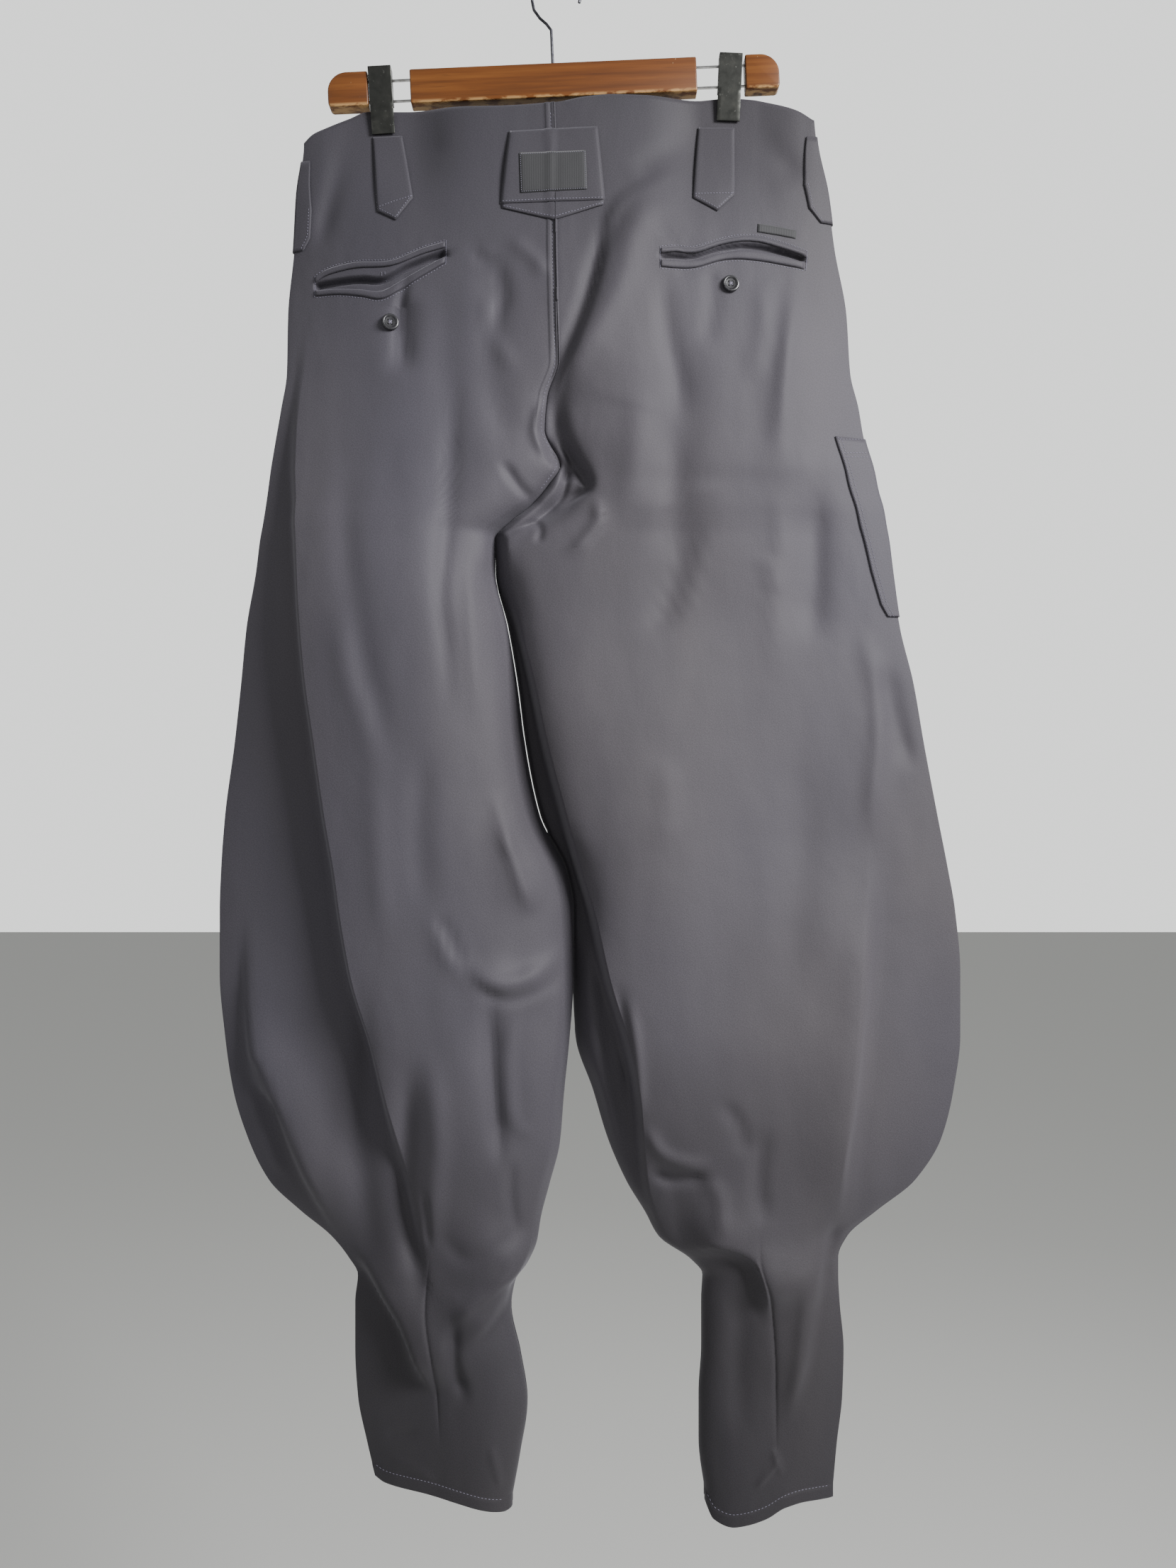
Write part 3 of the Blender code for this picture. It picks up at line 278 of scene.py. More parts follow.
# Smaller creases that the photograph shows: thin ones as creases, soft ones as ridges.
FINE_BACK_FOLDS = (
    ("pocket drop", "ridge", 1, -3.2, 0, 4, (
        (-104, -228), (-109, -244), (-112, -262), (-110, -283), (-110, -307))),
    ("seat crease 1", "ridge", 1, -2.4, 0, 5, (
        (-60, -200), (-54, -218), (-41, -230), (-36, -251), (-42, -272), (-33, -296))),
    ("seat crease 2", "ridge", 1, 1.8, 0, 5, ((-34, -206), (-24, -214), (-12, -225), (-4, -240))),
    ("seat crease 3", "ridge", 1, 1.6, 0, 4, ((-53, -210), (-46, -224), (-38, -236))),
    ("seat crease 4", "ridge", 1, 2.0, 0, 5, (
        (-50, -242), (-44, -272), (-36, -291), (-27, -310))),
    ("right drag valley", "ridge", 1, -3.4, 0, 7, (
        (76, -158), (51, -188), (33, -224), (25, -254), (16, -278), (6, -302), (-3, -323),
        (-5, -345))),
    ("right drag light", "ridge", 1, 2.2, 0, 9, (
        (86, -168), (60, -204), (51, -237), (39, -264), (22, -290), (9, -316), (6, -335))),
    ("right waist band", "ridge", 1, -1.6, 0, 9, ((101, -127), (81, -142), (56, -160))),
    ("below right pocket", "ridge", 1, -2.2, 0, 6, (
        (83, -228), (81, -254), (84, -281), (91, -308), (96, -345))),
    ("below right pocket 2", "ridge", 1, -1.6, 0, 6, ((114, -224), (116, -254), (109, -290))),
    ("hip ridge 1", "ridge", 1, 2.2, 0, 7, ((179, -228), (172, -277), (167, -322), (162, -370))),
    ("hip ridge 2", "ridge", 1, 1.4, 0, 8, ((151, -230), (153, -266), (144, -315))),
    ("crotch bulge", "ridge", 1, 2.6, 0, 4, ((-6, -322), (-12, -342), (-11, -354), (-3, -368))),
    ("waist soft 1", "ridge", 1, -1.2, 0, 8, ((-100, -106), (-90, -127), (-84, -148))),
    ("thigh crease left", "ridge", 1, -2.4, 0, 5, (
        (-71, -290), (-72, -325), (-74, -391), (-76, -424), (-79, -467), (-75, -510),
        (-71, -570))),
    ("thigh ridge left", "ridge", 1, 1.6, 0, 9, (
        (-154, -470), (-145, -523), (-130, -563), (-119, -610))),
    ("thigh trough left", "ridge", 1, -2.2, 0, 10, (
        (-149, -350), (-147, -424), (-139, -477), (-128, -536), (-105, -600))),
    ("inner ridge left", "ridge", 1, 1.4, 0, 5, ((-60, -430), (-56, -510), (-52, -560))),
    ("bright swag left", "ridge", 1, 1.4, 0, 5, ((-42, -606), (-34, -636), (-28, -660))),
    ("bend right", "ridge", 1, -2.4, 0, 6, (
        (106, -405), (96, -438), (90, -460), (82, -480), (64, -500))),
    ("bend right light", "ridge", 1, 1.4, 0, 6, (
        (112, -412), (103, -442), (97, -466), (88, -486))),
    ("band right", "ridge", 1, -2.0, 0, 9, ((88, -340), (89, -397), (88, -445))),
    ("ridge right top", "ridge", 1, 1.8, 0, 10, ((62, -310), (59, -364), (53, -397), (44, -418))),
    ("ridge right side", "ridge", 1, 1.5, 0, 6, (
        (160, -380), (166, -423), (163, -470), (160, -530))),
    ("nick right", "ridge", 1, 1.2, 0, 4, ((148, -432), (159, -447), (163, -466))),
    ("trough right side", "ridge", 1, -1.8, 0, 9, ((192, -370), (195, -439), (191, -510))),
    ("wing ridge right", "ridge", 1, 2.4, 0, 8, (
        (228, -480), (240, -536), (239, -583), (232, -650))),
    ("wing hollow right", "ridge", 1, -2.4, 0, 9, ((243, -510), (251, -549), (268, -596))),
    ("crotch hollow 1", "ridge", 1, -6, 0, 4, (
        (-5, -335), (-1, -361), (9, -374), (6, -391), (-8, -406), (-24, -420))),
    ("crotch hollow 2", "ridge", 1, -5, 0, 4, (
        (4, -350), (18, -371), (25, -386), (15, -393), (2, -401))),
    ("crotch hollow 3", "ridge", 1, -2.4, 0, 4, ((-38, -368), (-23, -389), (-6, -400))),
    ("crotch rim right", "ridge", 1, 2.6, 0, 5, ((30, -392), (33, -411), (25, -424), (10, -441))),
    ("apex branch 1", "ridge", 1, -2.4, 0, 3, ((-39, -421), (-25, -416), (-10, -409))),
    ("apex branch 2", "ridge", 1, -2.2, 0, 3, ((-14, -408), (-9, -419), (-12, -430))),
    ("soft fold right", "ridge", 1, 1.4, 0, 6, ((66, -424), (77, -404), (95, -392), (124, -385))),
    ("left wing fold", "step", 1, 6, 7, 30, (
        (-220, -757), (-222, -790), (-217, -820), (-201, -838), (-190, -867), (-173, -904),
        (-156, -940))),
    ("left wing crease", "ridge", 1, 1.8, 0, 5, ((-230, -818), (-219, -849), (-208, -878),
                                                 (-190, -900))),
    ("left mid band", "ridge", 1, -4.5, 0, 10, (
        (-137, -730), (-134, -816), (-139, -874), (-136, -924), (-130, -965))),
    ("left valley", "ridge", 1, -6, 0, 8, (
        (-100, -790), (-104, -859), (-107, -899), (-101, -942), (-90, -990))),
    ("left valley ridge", "ridge", 1, 3.4, 0, 8, ((-85, -785), (-81, -852), (-85, -899), (-88, -945))),
    ("dart left", "groove", 1, -1.6, 0, 1.6, ((-88, -938), (-92, -983), (-86, -1026), (-82, -1090))),
    ("swag 1", "ridge", 1, 3.2, 0, 7, (
        (-88, -688), (-72, -722), (-49, -742), (-24, -742), (2, -729), (16, -712))),
    ("swag 2", "ridge", 1, -2.6, 0, 5, (
        (-78, -700), (-62, -733), (-36, -755), (-9, -750), (12, -738))),
    ("V line 1", "ridge", 1, -2.2, 0, 3, ((-82, -692), (-72, -711), (-64, -732))),
    ("inner dark", "ridge", 1, -4.5, 0, 5, ((-43, -742), (-44, -787), (-42, -823), (-36, -885))),
    ("inner light", "ridge", 1, 2.4, 0, 5, ((-26, -756), (-31, -801), (-27, -845), (-8, -856))),
    ("bright top", "ridge", 1, 2.6, 0, 4, ((-37, -630), (-24, -668), (-13, -698))),
    ("bright top 2", "ridge", 1, 1.8, 0, 4, ((-15, -600), (-8, -621), (1, -640))),
    ("knee crease", "ridge", 1, -2, 0, 3, ((-92, -890), (-90, -914), (-89, -940))),
    ("knee V", "ridge", 1, -2, 0, 4, ((-29, -868), (-30, -899), (-26, -930))),
    ("knee swag soft", "ridge", 1, -1.6, 0, 6, ((-85, -920), (-64, -943), (-38, -934), (-16, -915))),
    ("tuck edge", "ridge", 1, 3.4, 0, 5, ((-22, -950), (-42, -966), (-57, -976), (-74, -990))),
    ("tuck valley", "ridge", 1, -4, 0, 5, ((-70, -984), (-71, -1021), (-62, -1056))),
    ("calf overhang left", "step", 1, 7, 5, 34, (
        (-142, -950), (-126, -975), (-109, -999), (-97, -1023), (-86, -1050))),
    ("hem wrinkle L1", "ridge", 1, -1.2, 0, 3, ((-126, -1084), (-112, -1081), (-97, -1077))),
    ("hem wrinkle L2", "ridge", 1, 1.4, 0, 3, ((-46, -1080), (-41, -1099), (-37, -1116))),
    ("hem wrinkle L3", "ridge", 1, 1.2, 0, 3, ((-123, -1101), (-101, -1104), (-84, -1110))),
    ("right recess 1", "ridge", 1, 3.5, 0, 6, ((23, -712), (30, -774), (38, -826), (50, -880))),
    ("right recess 2", "ridge", 1, -3, 0, 5, ((45, -740), (54, -789), (58, -840))),
    ("right recess 3", "ridge", 1, 2.4, 0, 4, ((53, -748), (60, -795), (64, -845))),
    ("right dark small", "ridge", 1, -4.5, 0, 5, ((69, -880), (83, -889), (103, -888), (116, -884))),
    ("right bright small", "ridge", 1, 3, 0, 5, ((66, -845), (77, -867), (96, -876), (116, -874))),
    ("knee right V1", "ridge", 1, -2.4, 0, 5, ((119, -826), (134, -849), (140, -876))),
    ("knee right V2", "ridge", 1, -3, 0, 6, ((153, -845), (149, -886), (153, -926))),
    ("knee right V3", "ridge", 1, 2.2, 0, 5, ((110, -882), (121, -904), (121, -930))),
    ("dart right", "groove", 1, -1.8, 0, 1.6, (
        (151, -916), (150, -948), (159, -981), (163, -1035), (164, -1106))),
    ("knee swag right", "step", 1, 5, 4, 20, (
        (92, -943), (118, -936), (139, -942), (150, -954), (159, -986))),
    ("wing line right", "step", -1, 5, 7, 26, (
        (236, -690), (224, -774), (217, -836), (211, -877), (209, -934))),
    ("wing low right", "ridge", 1, -3, 0, 6, ((211, -922), (202, -953), (198, -980))),
    ("calf ridge right", "ridge", 1, 2.6, 0, 6, ((188, -960), (181, -1019), (171, -1080))),
    ("calf hollow right", "ridge", 1, -3, 0, 10, ((140, -960), (136, -1020), (138, -1090))),
    ("hem wrinkle R1", "ridge", 1, 1.2, 0, 3, ((160, -1088), (169, -1112))),
    ("hem wrinkle R2", "ridge", 1, 1.4, 0, 3, ((147, -1120), (158, -1107), (168, -1097))),
    ("thigh band left", "ridge", 1, -2.2, 0, 9, ((-90, -570), (-94, -643), (-88, -700))),
    ("thigh band left 2", "ridge", 1, 1.6, 0, 9, ((-127, -570), (-123, -654), (-118, -720))),
    ("thigh right light", "ridge", 1, 1.6, 0, 8, ((80, -580), (83, -621), (76, -655))),
    ("thigh right band", "ridge", 1, -1.8, 0, 14, ((185, -560), (179, -672), (171, -770))),
    ("left slit", "slit", 1, -6, 0, 2.4, (
        (-178, -235), (-157, -233.5), (-140, -233.5), (-124, -235), (-104, -226), (-76, -216.5))),
    ("right slit", "slit", 1, -5, 0, 2.0, (
        (76, -222.3), (89, -221), (104, -220), (126, -212), (151, -209.5), (187, -215.5))),
)
FINE_FRONT_FOLDS = (
    ("left front drag", "ridge", 1, -3, 0, 9, ((-110, -130), (-70, -190), (-30, -260), (-14, -330))),
    ("right front drag", "ridge", 1, -3, 0, 9, ((112, -130), (80, -190), (40, -270), (10, -340))),
    ("left front crease", "ridge", 1, 2.4, 0, 8, ((-150, -280), (-160, -420), (-150, -600))),
    ("right front crease", "ridge", 1, 2.4, 0, 8, ((160, -280), (180, -420), (190, -600))),
    ("left front swag", "ridge", 1, 3, 0, 9, ((-190, -820), (-130, -900), (-60, -930))),
    ("right front swag", "ridge", 1, 3, 0, 9, ((240, -820), (180, -900), (110, -930))),
    ("left front calf", "ridge", 1, -2.4, 0, 8, ((-110, -970), (-100, -1050), (-96, -1100))),
    ("right front calf", "ridge", 1, -2.4, 0, 8, ((160, -970), (162, -1050), (160, -1110))),
)
FOLD_FADE = 0.30
SEAM_OUT_DEPTH = 6
SEAM_OUT_FROM, SEAM_OUT_OVER = -110, 140
SEAM_IN_DEPTH = {"left": -4, "right": 6}
SEAM_IN_FROM, SEAM_IN_OVER = -419, 67
LEGS_PART = -640
WAIST_FADE = 150
HEM_FADE = 90
BACK_ROUND = (0.9, 0.85, 0.35)
FRONT_ROUND = (0.7, 0.4, 0.3)
SEAM_FLAT_OUT = 0.05
SEAM_FLAT_IN = 0.04
GROOVE_DEPTH = -9
GROOVE_PLACE = 3
GROOVE_SPREAD = 15
PINCH_AT = ((-127, -126), (130, -116.5))
PINCH_HALF = 20
PINCH_ACROSS = 26
PINCH_DOWN = 42
KNOTS = {
    "left": (("out_l", 0), ("fold_l", 0.36), ("in_l", 1)),
    "right": (("out_r", 0), ("wing_r", 0.25), ("fold_r", 0.78), ("in_r", 1)),
}
SEAM_RISE = 0.8
SEAM_WIDTH = 5.5
SEAM_STITCH_IN = 2.4
CREASE_DEPTH = 1.1
HEM_TURN = 9
HEM_RISE = 0.9
WAVE = ((0.55, 34, 80, 3.1), (0.28, 13, 30, 7.7), (0.10, 6, 9, 1.9))


def smooth(t):
    """Ease from 0 to 1."""
    t = np.clip(t, 0.0, 1.0)
    return t * t * (3 - 2 * t)


def steady(xs, ys, x):
    """A smooth curve through table values that never passes beyond them."""
    xs, ys = np.asarray(xs, float), np.asarray(ys, float)
    step = np.diff(xs)
    slope = np.diff(ys) / step
    middle = np.where(slope[:-1] * slope[1:] > 0,
                      2 * slope[:-1] * slope[1:] / (slope[:-1] + slope[1:] + 1e-12), 0.0)
    tangent = np.concatenate([[slope[0]], middle, [slope[-1]]])
    x = np.clip(x, xs[0], xs[-1])
    cell = np.clip(np.searchsorted(xs, x, side="right") - 1, 0, len(step) - 1)
    t = (x - xs[cell]) / step[cell]
    rise = ys[cell + 1] - ys[cell]
    start, end = tangent[cell] * step[cell], tangent[cell + 1] * step[cell]
    return (ys[cell] + t * start + t * t * (3 * rise - 2 * start - end)
            + t ** 3 * (start + end - 2 * rise))


def section(column, z):
    """One column of the section table at the heights z."""
    index = SECTION_COLUMNS.index(column)
    return steady([row[0] for row in SECTIONS[::-1]], [row[index] for row in SECTIONS[::-1]], z)


def inner_line(side, z):
    """The inner edge of a leg. Both legs share it down to where they part."""
    own = section("in_l" if side == "left" else "in_r", z)
    return np.where(z > LEGS_PART, section("in_l", z), own)


def edge_line(edge, x):
    """Height of an edge at x."""
    return steady([p[0] for p in edge], [p[1] for p in edge], x)


def rounded_path(path, parts=5):
    """A path's corners rounded by a curve through its points."""
    points = [np.array(p, float) for p in path]
    points = [2 * points[0] - points[1], *points, 2 * points[-1] - points[-2]]
    out = []
    for a, b, c, d in zip(points, points[1:], points[2:], points[3:]):
        for k in range(parts):
            t = k / parts
            out.append(0.5 * (2 * b + (c - a) * t + (2 * a - 5 * b + 4 * c - d) * t * t
                              + (3 * b - a - 3 * c + d) * t ** 3))
    return [*out, points[-2]]


def along(path, x, z):
    """Distance from a path, positive on its right as it runs down, and the share run so far."""
    nearest = np.full(x.shape, 1e9)
    side = np.ones(x.shape)
    share = np.zeros(x.shape)
    lengths = [math.dist(a, b) for a, b in zip(path, path[1:])]
    run = 0.0
    for (ax, az), (bx, bz), length in zip(path, path[1:], lengths):
        ux, uz = (bx - ax) / length, (bz - az) / length
        t = np.clip((x - ax) * ux + (z - az) * uz, 0.0, length)
        dx, dz = x - ax - t * ux, z - az - t * uz
        distance = np.hypot(dx, dz)
        closer = distance < nearest
        side = np.where(closer, dz * ux - dx * uz, side)
        share = np.where(closer, (run + t) / sum(lengths), share)
        nearest = np.where(closer, distance, nearest)
        run += length
    return np.copysign(nearest, side), share


def fold_height(fold, x, z):
    """How far one fold stands out at x and z. It fades at both ends of its path."""
    _, kind, raised, rise, edge, spread, path = fold
    if isinstance(path[0], str):
        distance = x - section(path[0], z)
        share = (path[1] - z) / (path[1] - path[2])
        near = slice(None)
    else:
        path = rounded_path(path)
        reach = 3 * max(spread, edge)
        xs, zs = [p[0] for p in path], [p[1] for p in path]
        near = ((x > min(xs) - reach) & (x < max(xs) + reach)
                & (z > min(zs) - reach) & (z < max(zs) + reach))
        distance, share = along(path, x[near], z[near])
    ends = smooth(share / FOLD_FADE) * smooth((1 - share) / FOLD_FADE)
    if kind == "step":
        distance = distance * raised
        profile = smooth(distance / edge + 1)
        profile = profile * np.exp(-(np.maximum(distance, 0) / spread) ** 2)
    elif kind == "slit":
        ends = smooth(share / 0.04) * smooth((1 - share) / 0.04)
        profile = np.exp(-(distance / spread) ** 4)
    elif kind == "groove":
        profile = np.exp(-np.abs(distance) / spread)
    else:
        profile = np.exp(-(distance / spread) ** 2)
    height = np.zeros(x.shape)
    height[near] = rise * ends * profile
    return height


def pinch(x, z):
    """1 where a clip squeezes the cloth, falling to 0 around it."""
    total = np.zeros(x.shape)
    for middle, low in PINCH_AT:
        across = np.maximum(abs(x - middle) - PINCH_HALF, 0) / PINCH_ACROSS
        below = np.maximum(low - z, 0) / PINCH_DOWN
        total = np.maximum(total, np.exp(-across ** 2 - below ** 2))
    return total


def panel_places(side, z0, u):
    """x and z of points of a leg's panel, and the share s of its width from the outer seam."""
    top, bottom = SECTIONS[0][0], SECTIONS[-1][0]
    hem = HEM_EDGE_LEFT if side == "left" else HEM_EDGE_RIGHT
    waist_share = 1 - smooth((top - z0) / WAIST_FADE)
    hem_share = 1 - smooth((z0 - bottom) / HEM_FADE)
    knots = KNOTS[side]
    z = z0
    for _ in range(3):
        ends = [inner_line(side, z) if place == 1 else section(name, z) for name, place in knots]
        x = np.zeros(z.shape)
        for (_, ua), (_, ub), xa, xb in zip(knots, knots[1:], ends, ends[1:]):
            t = np.clip((u - ua) / (ub - ua), 0, 1)
            x = np.where((u >= ua) | (ua == 0), xa + (xb - xa) * (1 - np.cos(np.pi * t)) / 2, x)
        z = z0 + (edge_line(WAIST_EDGE, x) - top) * waist_share
        z = z + (edge_line(hem, x) - bottom) * hem_share
    outer, inner = section(knots[0][0], z), inner_line(side, z)
    return x, z, np.clip((x - outer) / (inner - outer), 0, 1)


def seam_plane(side, s, z):
    """Depth of the plane that holds a leg's two seams."""
    outer = SEAM_OUT_DEPTH * smooth((SEAM_OUT_FROM - z) / SEAM_OUT_OVER)
    inner = SEAM_IN_DEPTH[side] * smooth((SEAM_IN_FROM - z) / SEAM_IN_OVER)
    return outer + (inner - outer) * s


def fullness(s, close, rise, outer_share, inner_share):
    """Share of a section's full depth: 0 at the outer seam, and at a closed inner seam."""
    outer = 1 - (1 - np.minimum(s / outer_share, 1)) ** 2
    inner = 1 - (1 - np.minimum((1 - s) / inner_share, 1)) ** 2
    return outer ** rise * (1 - close * (1 - inner ** 0.5))


def panel_surface(side, layer, z0, u):
    """Points of one panel's outer face, in millimetres."""
    x, z, s = panel_places(side, z0, u)
    plane = seam_plane(side, s, z)
    close = section("close", z)
    if layer == "back":
        depth = section("back_l" if side == "left" else "back_r", z)
        depth = depth * fullness(s, close, *BACK_ROUND)
        folds = sum(fold_height(fold, x, z) for fold in BACK_FOLDS)
        folds = folds + CREASE_DEPTH * sum(fold_height(fold, x, z) for fold in FINE_BACK_FOLDS)
    else:
        depth = section("front", z) * fullness(s, close, *FRONT_ROUND)
        folds = sum(fold_height(fold, x, z) for fold in FRONT_FOLDS + FINE_FRONT_FOLDS)
    for rise, wide, long, seed in WAVE:
        places = zip((x / wide).tolist(), (z / long).tolist())
        layer_seed = seed + (0 if layer == "back" else 40)
        folds = folds + rise * np.array([noise.noise((a, b, layer_seed)) for a, b in places])
    seam_fade = smooth(s / SEAM_FLAT_OUT) * (1 - close * (1 - smooth((1 - s) / SEAM_FLAT_IN)))
    lowest = 0.0
    if layer == "back":
        lowest = smooth((-430 - z) / 30) * smooth((z + 760) / 60) * smooth((1 - s) / 0.02)
        lowest = GROOVE_DEPTH * lowest
        beside = x - (section("in_l", z) + GROOVE_PLACE)
        folds = folds + lowest * np.exp(-(beside / GROOVE_SPREAD) ** 2)
    depth = np.maximum(depth + folds * seam_fade, lowest) * (1 - pinch(x, z))
    if layer == "back":
        from_seam = np.abs(x - section("in_l", z))
        if side == "left":
            depth = depth + SEAM_RISE * (1 - close) * (1 - smooth((from_seam - SEAM_WIDTH) / 1.2))
            depth = depth - 0.5 * (1 - close) * np.exp(-((from_seam - SEAM_STITCH_IN) / 0.9) ** 2)
        else:
            depth = depth - 0.5 * (1 - close) * np.exp(-from_seam / 1.2)
    above = z - edge_line(HEM_EDGE_LEFT if side == "left" else HEM_EDGE_RIGHT, x)
    depth = depth + HEM_RISE * (1 - smooth((above - HEM_TURN) / 1.5))
    depth = depth - 0.7 * np.exp(-((above - HEM_TURN) / 1.1) ** 2)
    away = 1 if layer == "front" else -1
    y = plane + away * (EDGE + depth)
    x = np.where(s >= 1, x - (1 if side == "left" else -1) * HALF_SEAM, x)
    return np.stack([x, y, z], axis=-1)


def finish_mesh(name, shaped, material, smooth_angle=None):
    """Turns a bmesh into a piece of the object."""
    mesh = bpy.data.meshes.new(name)
    shaped.to_mesh(mesh)
    shaped.free()
    mesh.shade_smooth()
    if smooth_angle:
        mesh.set_sharp_from_angle(angle=math.radians(smooth_angle))
    mesh.materials.append(material)
    piece = bpy.data.objects.new(name, mesh)
    bpy.context.scene.collection.objects.link(piece)
    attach(piece, "root")
    return piece


def thicken(piece, thickness, rounded=0.0):
    """Gives a sheet its thickness on its inner side, and rounds the rim."""
    shell = piece.modifiers.new("cloth thickness", "SOLIDIFY")
    shell.thickness = thickness * MM
    shell.offset = -1
    if rounded:
        soft = piece.modifiers.new("soft rim", "BEVEL")
        soft.width = rounded * MM
        soft.segments = 2
        soft.limit_method = "ANGLE"
        soft.angle_limit = math.radians(50)


def spread_grid(columns, rows):
    """A flat grid from -1 to 1, with UVs."""
    sheet = bmesh.new()
    sheet.loops.layers.uv.new("cloth")
    bmesh.ops.create_grid(sheet, x_segments=columns, y_segments=rows, size=1, calc_uvs=True)
    return sheet


def set_points(sheet, points):
    """Moves a sheet's vertices to points given in millimetres."""
    for vertex, point in zip(sheet.verts, points.tolist()):
        vertex.co = (point[0] * MM, point[1] * MM, point[2] * MM)


def set_uvs(sheet):
    """Lays the pattern of the weave on the sheet by its x and z, in metres."""
    layer = sheet.loops.layers.uv.active
    for face in sheet.faces:
        for loop in face.loops:
            loop[layer].uv = (loop.vert.co.x, loop.vert.co.z)


PANEL_COLUMNS = {"left": 84, "right": 90}
PANEL_ROWS = 340
CLOSE_WORK = (((-182, -74), (-256, -202)), ((72, 192), (-236, -196)), ((-45, 40), (-432, -330)))
FINE_LINES = [rounded_path(fold[6]) for fold in FINE_BACK_FOLDS if fold[1] == "groove"]


def wants_close_work(x, z):
    """True where the cloth needs a finer grid: pockets, crotch, darts, centre seam and hems."""
    near = np.abs(x - section("in_l", z)) < 8
    near &= z > -345
    near |= z < -1104
    for (west, east), (low, high) in CLOSE_WORK:
        near |= (x > west) & (x < east) & (z > low) & (z < high)
    for line in FINE_LINES:
        near |= np.abs(along(line, x, z)[0]) < 4.5
    return near


surfaces = {}
for side in ("left", "right"):
    for layer in ("back", "front"):
        name = f"{layer}_{side}"
        share = 1 if layer == "back" else 0.6
        sheet = spread_grid(int(PANEL_COLUMNS[side] * share), int(PANEL_ROWS * share))
        top, bottom = SECTIONS[0][0], SECTIONS[-1][0]
        if layer == "back":
            flat = np.array([v.co for v in sheet.verts])
            x, z, _ = panel_places(side, top + (bottom - top) * (1 - flat[:, 1]) / 2,
                                   (flat[:, 0] + 1) / 2)
            inside = wants_close_work(x, z)
            edges = [e for e in sheet.edges if all(inside[v.index] for v in e.verts)]
            bmesh.ops.subdivide_edges(sheet, edges=edges, cuts=2, use_grid_fill=True)
        flat = np.array([v.co for v in sheet.verts])
        points = panel_surface(side, layer, top + (bottom - top) * (1 - flat[:, 1]) / 2,
                               (flat[:, 0] + 1) / 2)
        set_points(sheet, points)
        set_uvs(sheet)
        if (side == "left") != (layer == "back"):
            bmesh.ops.reverse_faces(sheet, faces=sheet.faces)
        surfaces[name] = BVHTree.FromBMesh(sheet)
        panel = finish_mesh(f"trouser_{name}", sheet, slate_twill)
        thicken(panel, CLOTH)
        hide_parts(name)

# Sewing thread: lavender-grey polyester, a shade lighter than the cloth, in short even stitches
# that are pressed into it.
THREAD_COLOUR = (0.17, 0.16, 0.215)
STITCH_PITCH = 2.7
STITCH_LENGTH = 2.0
STITCH_THICK = 0.42
BACK_SURFACES = [surfaces["back_left"], surfaces["back_right"]]
FRONT_SURFACES = [surfaces["front_left"], surfaces["front_right"]]

thread_made, thread_tree, thread_shader = new_material("sewing_thread", THREAD_COLOUR, 0.6)
strands = noise_on(thread_tree, "Object", 2500, 2)
toned(thread_tree, thread_shader, strands, ((0.3, (0.12, 0.11, 0.15)), (0.7, (0.21, 0.2, 0.26))))
bumped(thread_tree, thread_shader, strands, 0.4, 0.0002)


def cloth_depth(x, z, away, trees):
    """Depth of the outermost cloth at x and z, in millimetres, or None beside it."""
    start = Vector((x * MM, away * 0.3, z * MM))
    hits = [tree.ray_cast(start, Vector((0, -away, 0)))[0] for tree in trees]
    depths = [away * hit.y / MM for hit in hits if hit]
    return away * max(depths) if depths else None


def even_points(path, pitch):
    """Points at an even pitch along a path of x and z."""
    path = np.array(path, float)
    runs = np.concatenate([[0], np.cumsum(np.hypot(*np.diff(path, axis=0).T))])
    places = np.arange(pitch / 2, runs[-1], pitch)
    return [tuple(float(np.interp(p, runs, path[:, k])) for k in (0, 1)) for p in places]


def sew(thread, path, away, trees, lift=0.0, pitch=STITCH_PITCH, length=STITCH_LENGTH):
    """Adds a row of stitches along a path of x and z, lying on the cloth."""
    points = even_points(path, pitch)
    placed = [(x, cloth_depth(x, z, away, trees), z) for x, z in points]
    placed = [Vector(p) for p in placed if p[1] is not None]
    for before, here, after in zip([placed[0], *placed], placed, [*placed[1:], placed[-1]]):
        run = after - before
        if run.length < 1e-6 or run.length > 3 * pitch:
            continue
        turn = run.to_track_quat("X", "Z").to_matrix().to_4x4()
        size = Matrix.Diagonal((length / 2 * MM, STITCH_THICK / 2 * MM, STITCH_THICK / 2 * MM, 1))
        place = here + Vector((0, away * (lift + 0.1), 0))
        bmesh.ops.create_uvsphere(thread, u_segments=6, v_segments=4, radius=1,
                                  matrix=Matrix.Translation(place * MM) @ turn @ size)


def finish_thread(name, thread):
    """Turns sewn stitches into a piece."""
    return finish_mesh(name, thread, thread_made)


seam_thread = bmesh.new()
seam_heights = np.linspace(-112, -388, 60)
seam_row = [(float(section("in_l", z)) - SEAM_STITCH_IN, z) for z in seam_heights]
sew(seam_thread, seam_row, -1, BACK_SURFACES)
for hem, trees, away in ((HEM_EDGE_LEFT, BACK_SURFACES, -1), (HEM_EDGE_RIGHT, BACK_SURFACES, -1),
                         (HEM_EDGE_LEFT, FRONT_SURFACES, 1), (HEM_EDGE_RIGHT, FRONT_SURFACES, 1)):
    places = np.linspace(hem[0][0] + 1.5, hem[-1][0] - 1.5, 20)
    sew(seam_thread, [(x, float(edge_line(hem, x)) + HEM_TURN) for x in places], away, trees)
finish_thread("stitches_seams_and_hems", seam_thread)

# The belt loops: folded strips of the same twill, stitched down at both ends, the wide one at the
# centre back with a pointed tab under it and a bare black woven patch on it.
BLACK_PATCH = (0.012, 0.012, 0.014)


